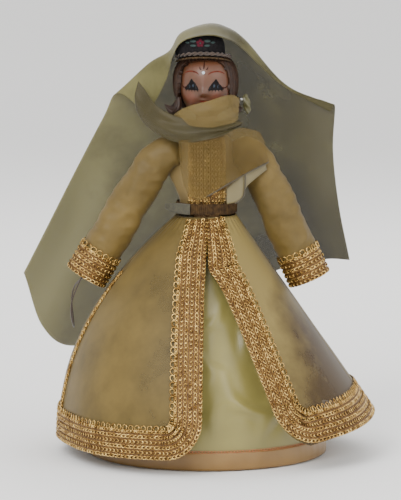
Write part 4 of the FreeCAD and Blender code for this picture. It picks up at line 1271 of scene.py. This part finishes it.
olive_organza = organza("olive_organza", "#2E280E", "#40381A", 0.78)
collar = lay_cloth("olive_scarf_collar", 110, 30, collar_place, 90, 12, 0.3)
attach(collar, "root")
finish(collar, olive_organza, "olive_organza", "neck_scarf")

drape_upper = curve_through([
    (-17.5, -24, 200.5), (-10, -26.5, 201.5), (0, -27, 203), (12, -26, 206), (23, -19, 207.5),
    (33.5, -9.5, 204)])
drape_lower = curve_through([
    (-16.5, -20, 184), (-14, -20, 170), (-6, -21.5, 162.5), (4, -22, 167), (13, -22, 172.5),
    (25, -18, 179), (38.5, -13.2, 185.5)])


def drape_place(across, down):
    spot = drape_upper(across).lerp(drape_lower(across), down)
    fan = 0.7 * math.sin(across * 30 - down * 6) * down ** 0.5 * smooth_share((0.5 - across) / 0.3)
    swag = 0.9 * math.sin(down * 9 + across * 5) * smooth_share((across - 0.3) / 0.4)
    soft = 0.8 * noise.noise(Vector((across * 5, down * 3, 19)))
    out = Vector((spot.x * 0.6, -25, 0)).normalized()
    return spot + out * (fan + swag * (1 - down * 0.6) + soft * (1 - down) + 1.2 * math.sin(math.pi * down))


drape_organza = organza("chest_drape_organza", "#48360F", "#64501E", 0.4)
drape = lay_cloth("chest_drape", 110, 60, drape_place, 62, 31, 0.2)
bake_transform(drape)
finish(drape, drape_organza, "olive_organza", "neck_scarf")


def rolled_hem(name, place, thick, material, steps):
    """A narrow rolled hem or piping: a thin tube along place(share)."""
    def around_line(across, down):
        spot = place(down)
        way = (place(min(down + 0.01, 1)) - place(max(down - 0.01, 0))).normalized()
        side_way = way.cross(Vector((0, -1, 0))).normalized()
        turn = math.tau * across
        return spot + (side_way * math.cos(turn) + side_way.cross(way) * math.sin(turn)) * thick
    hem = lay_cloth(name, 8, steps, around_line, 2, 60, 0.1)
    hem.data.materials.append(material)
    return hem


# The piping and the drape's rolled hem are dark olive: partly the real rolled edge and seam, partly a painted
# shadow line along the drape's lower edge and the armhole.
piping_with_painted_shadow = satin("olive_piping_painted_shadow", "#2A220E", "#3E3418", 0.5)
edge_hem = rolled_hem("drape_rolled_hem", lambda share: drape_place(0.42 + 0.58 * share, 1.0), 0.35,
                      piping_with_painted_shadow, 90)
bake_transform(edge_hem)
piping_line = curve_through([
    (24.0, -18.6, 178.5), (23.8, -18.6, 170), (22.5, -18.2, 164), (17.5, -18.4, 160)])
piping = rolled_hem("armhole_piping", piping_line, 0.4, piping_with_painted_shadow, 50)
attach(piping, "root")

# ---------------------------------------------------------------------------------------------
# Veil.  One large square of sheer olive organza: its front hem lies over the cap, its sides fall
# past the hair, and its body spreads wide and stiff behind the arms.
# ---------------------------------------------------------------------------------------------
VEIL_ROWS = [
    [(-37, 3, 213), (-25.5, -3, 236), (-21.5, -9, 251), (-15, -15, 261.5), (0, -18, 265.5),
     (12, -15, 263), (22, -6, 256), (47, 5, 232), (78, 14, 214)],
    [(-56, 13, 226), (-37, 9, 245), (-24, 6, 253), (-16.5, 6, 264), (0, 6, 270),
     (12, 6, 268), (25, 7, 259), (51, 10, 230), (81, 17, 217)],
    [(-66, 19, 209), (-50, 24, 215), (-35, 29, 225), (-19, 34, 236), (0, 36, 241),
     (19, 34, 236), (37, 29, 224), (60, 23, 204), (80, 21, 188)],
    [(-90, 30, 162), (-67, 35, 165), (-45, 40, 168), (-22, 47, 171), (0, 49, 172),
     (22, 47, 170), (44, 40, 166), (66, 32, 158), (84, 26, 152)],
    [(-117, 38, 108), (-106, 54, 72), (-84, 72, 55), (-42, 92, 66), (0, 96, 80),
     (32, 86, 96), (58, 64, 110), (76, 42, 117), (91, 28, 117)],
]
veil_rows = [curve_through(row) for row in VEIL_ROWS]


def veil_place(across, down):
    spot = curve_through([row(across) for row in veil_rows])(down)
    free = smooth_share((down - 0.2) / 0.5)
    flute = 1.6 * free * math.sin(across * 26 + 2.5 * noise.noise(Vector((across * 2, down * 2, 1))))
    soft = 2.0 * free * noise.noise(Vector((across * 4, down * 3, 3)))
    return spot + Vector((0, flute + soft, 0.4 * flute))


# The veil is painted lighter on the doll's right and darker on its left: painted light and shade from the key
# light.
veil_organza = organza("veil_organza", "#3F3917", "#7A7448", 0.8, span=(-0.09, 0.07))
veil = lay_cloth("organza_veil", 150, 130, veil_place, 260, 260, 0.2)
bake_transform(veil)
finish(veil, veil_organza, "olive_organza", "veil")

# ---------------------------------------------------------------------------------------------
# Hand string.  A doubled length of brown carpet thread: it leaves the right cuff, hangs in a short
# loop and goes back into it.
# ---------------------------------------------------------------------------------------------
STRING_POINTS = [
    (-0.0785, -0.0040, 0.1120), (-0.0830, -0.0050, 0.1030), (-0.0860, -0.0030, 0.0930),
    (-0.0855, 0.0030, 0.0835), (-0.0845, 0.0120, 0.0770), (-0.0845, 0.0225, 0.0760),
    (-0.0855, 0.0310, 0.0815), (-0.0865, 0.0340, 0.0910), (-0.0850, 0.0295, 0.1000),
    (-0.0815, 0.0205, 0.1055), (-0.0780, 0.0110, 0.1090), (-0.0760, 0.0030, 0.1140),
]
bpy.ops.object.select_all(action="DESELECT")
string_line = bpy.data.curves.new("hand_string_line", "CURVE")
string_line.dimensions = "3D"
string_run = string_line.splines.new("NURBS")
string_run.points.add(len(STRING_POINTS) - 1)
for point, place in zip(string_run.points, STRING_POINTS):
    point.co = (*place, 1)
string_run.order_u = 3
string_run.use_endpoint_u = True
string_line.bevel_depth = 0.0005
string_line.bevel_resolution = 4
string_line.use_fill_caps = True
hand_string = bpy.data.objects.new("hand_string_thread", string_line)
bpy.context.scene.collection.objects.link(hand_string)
string_line.materials.append(brown_cord)
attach(hand_string, "right_arm")
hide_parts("hand_string")
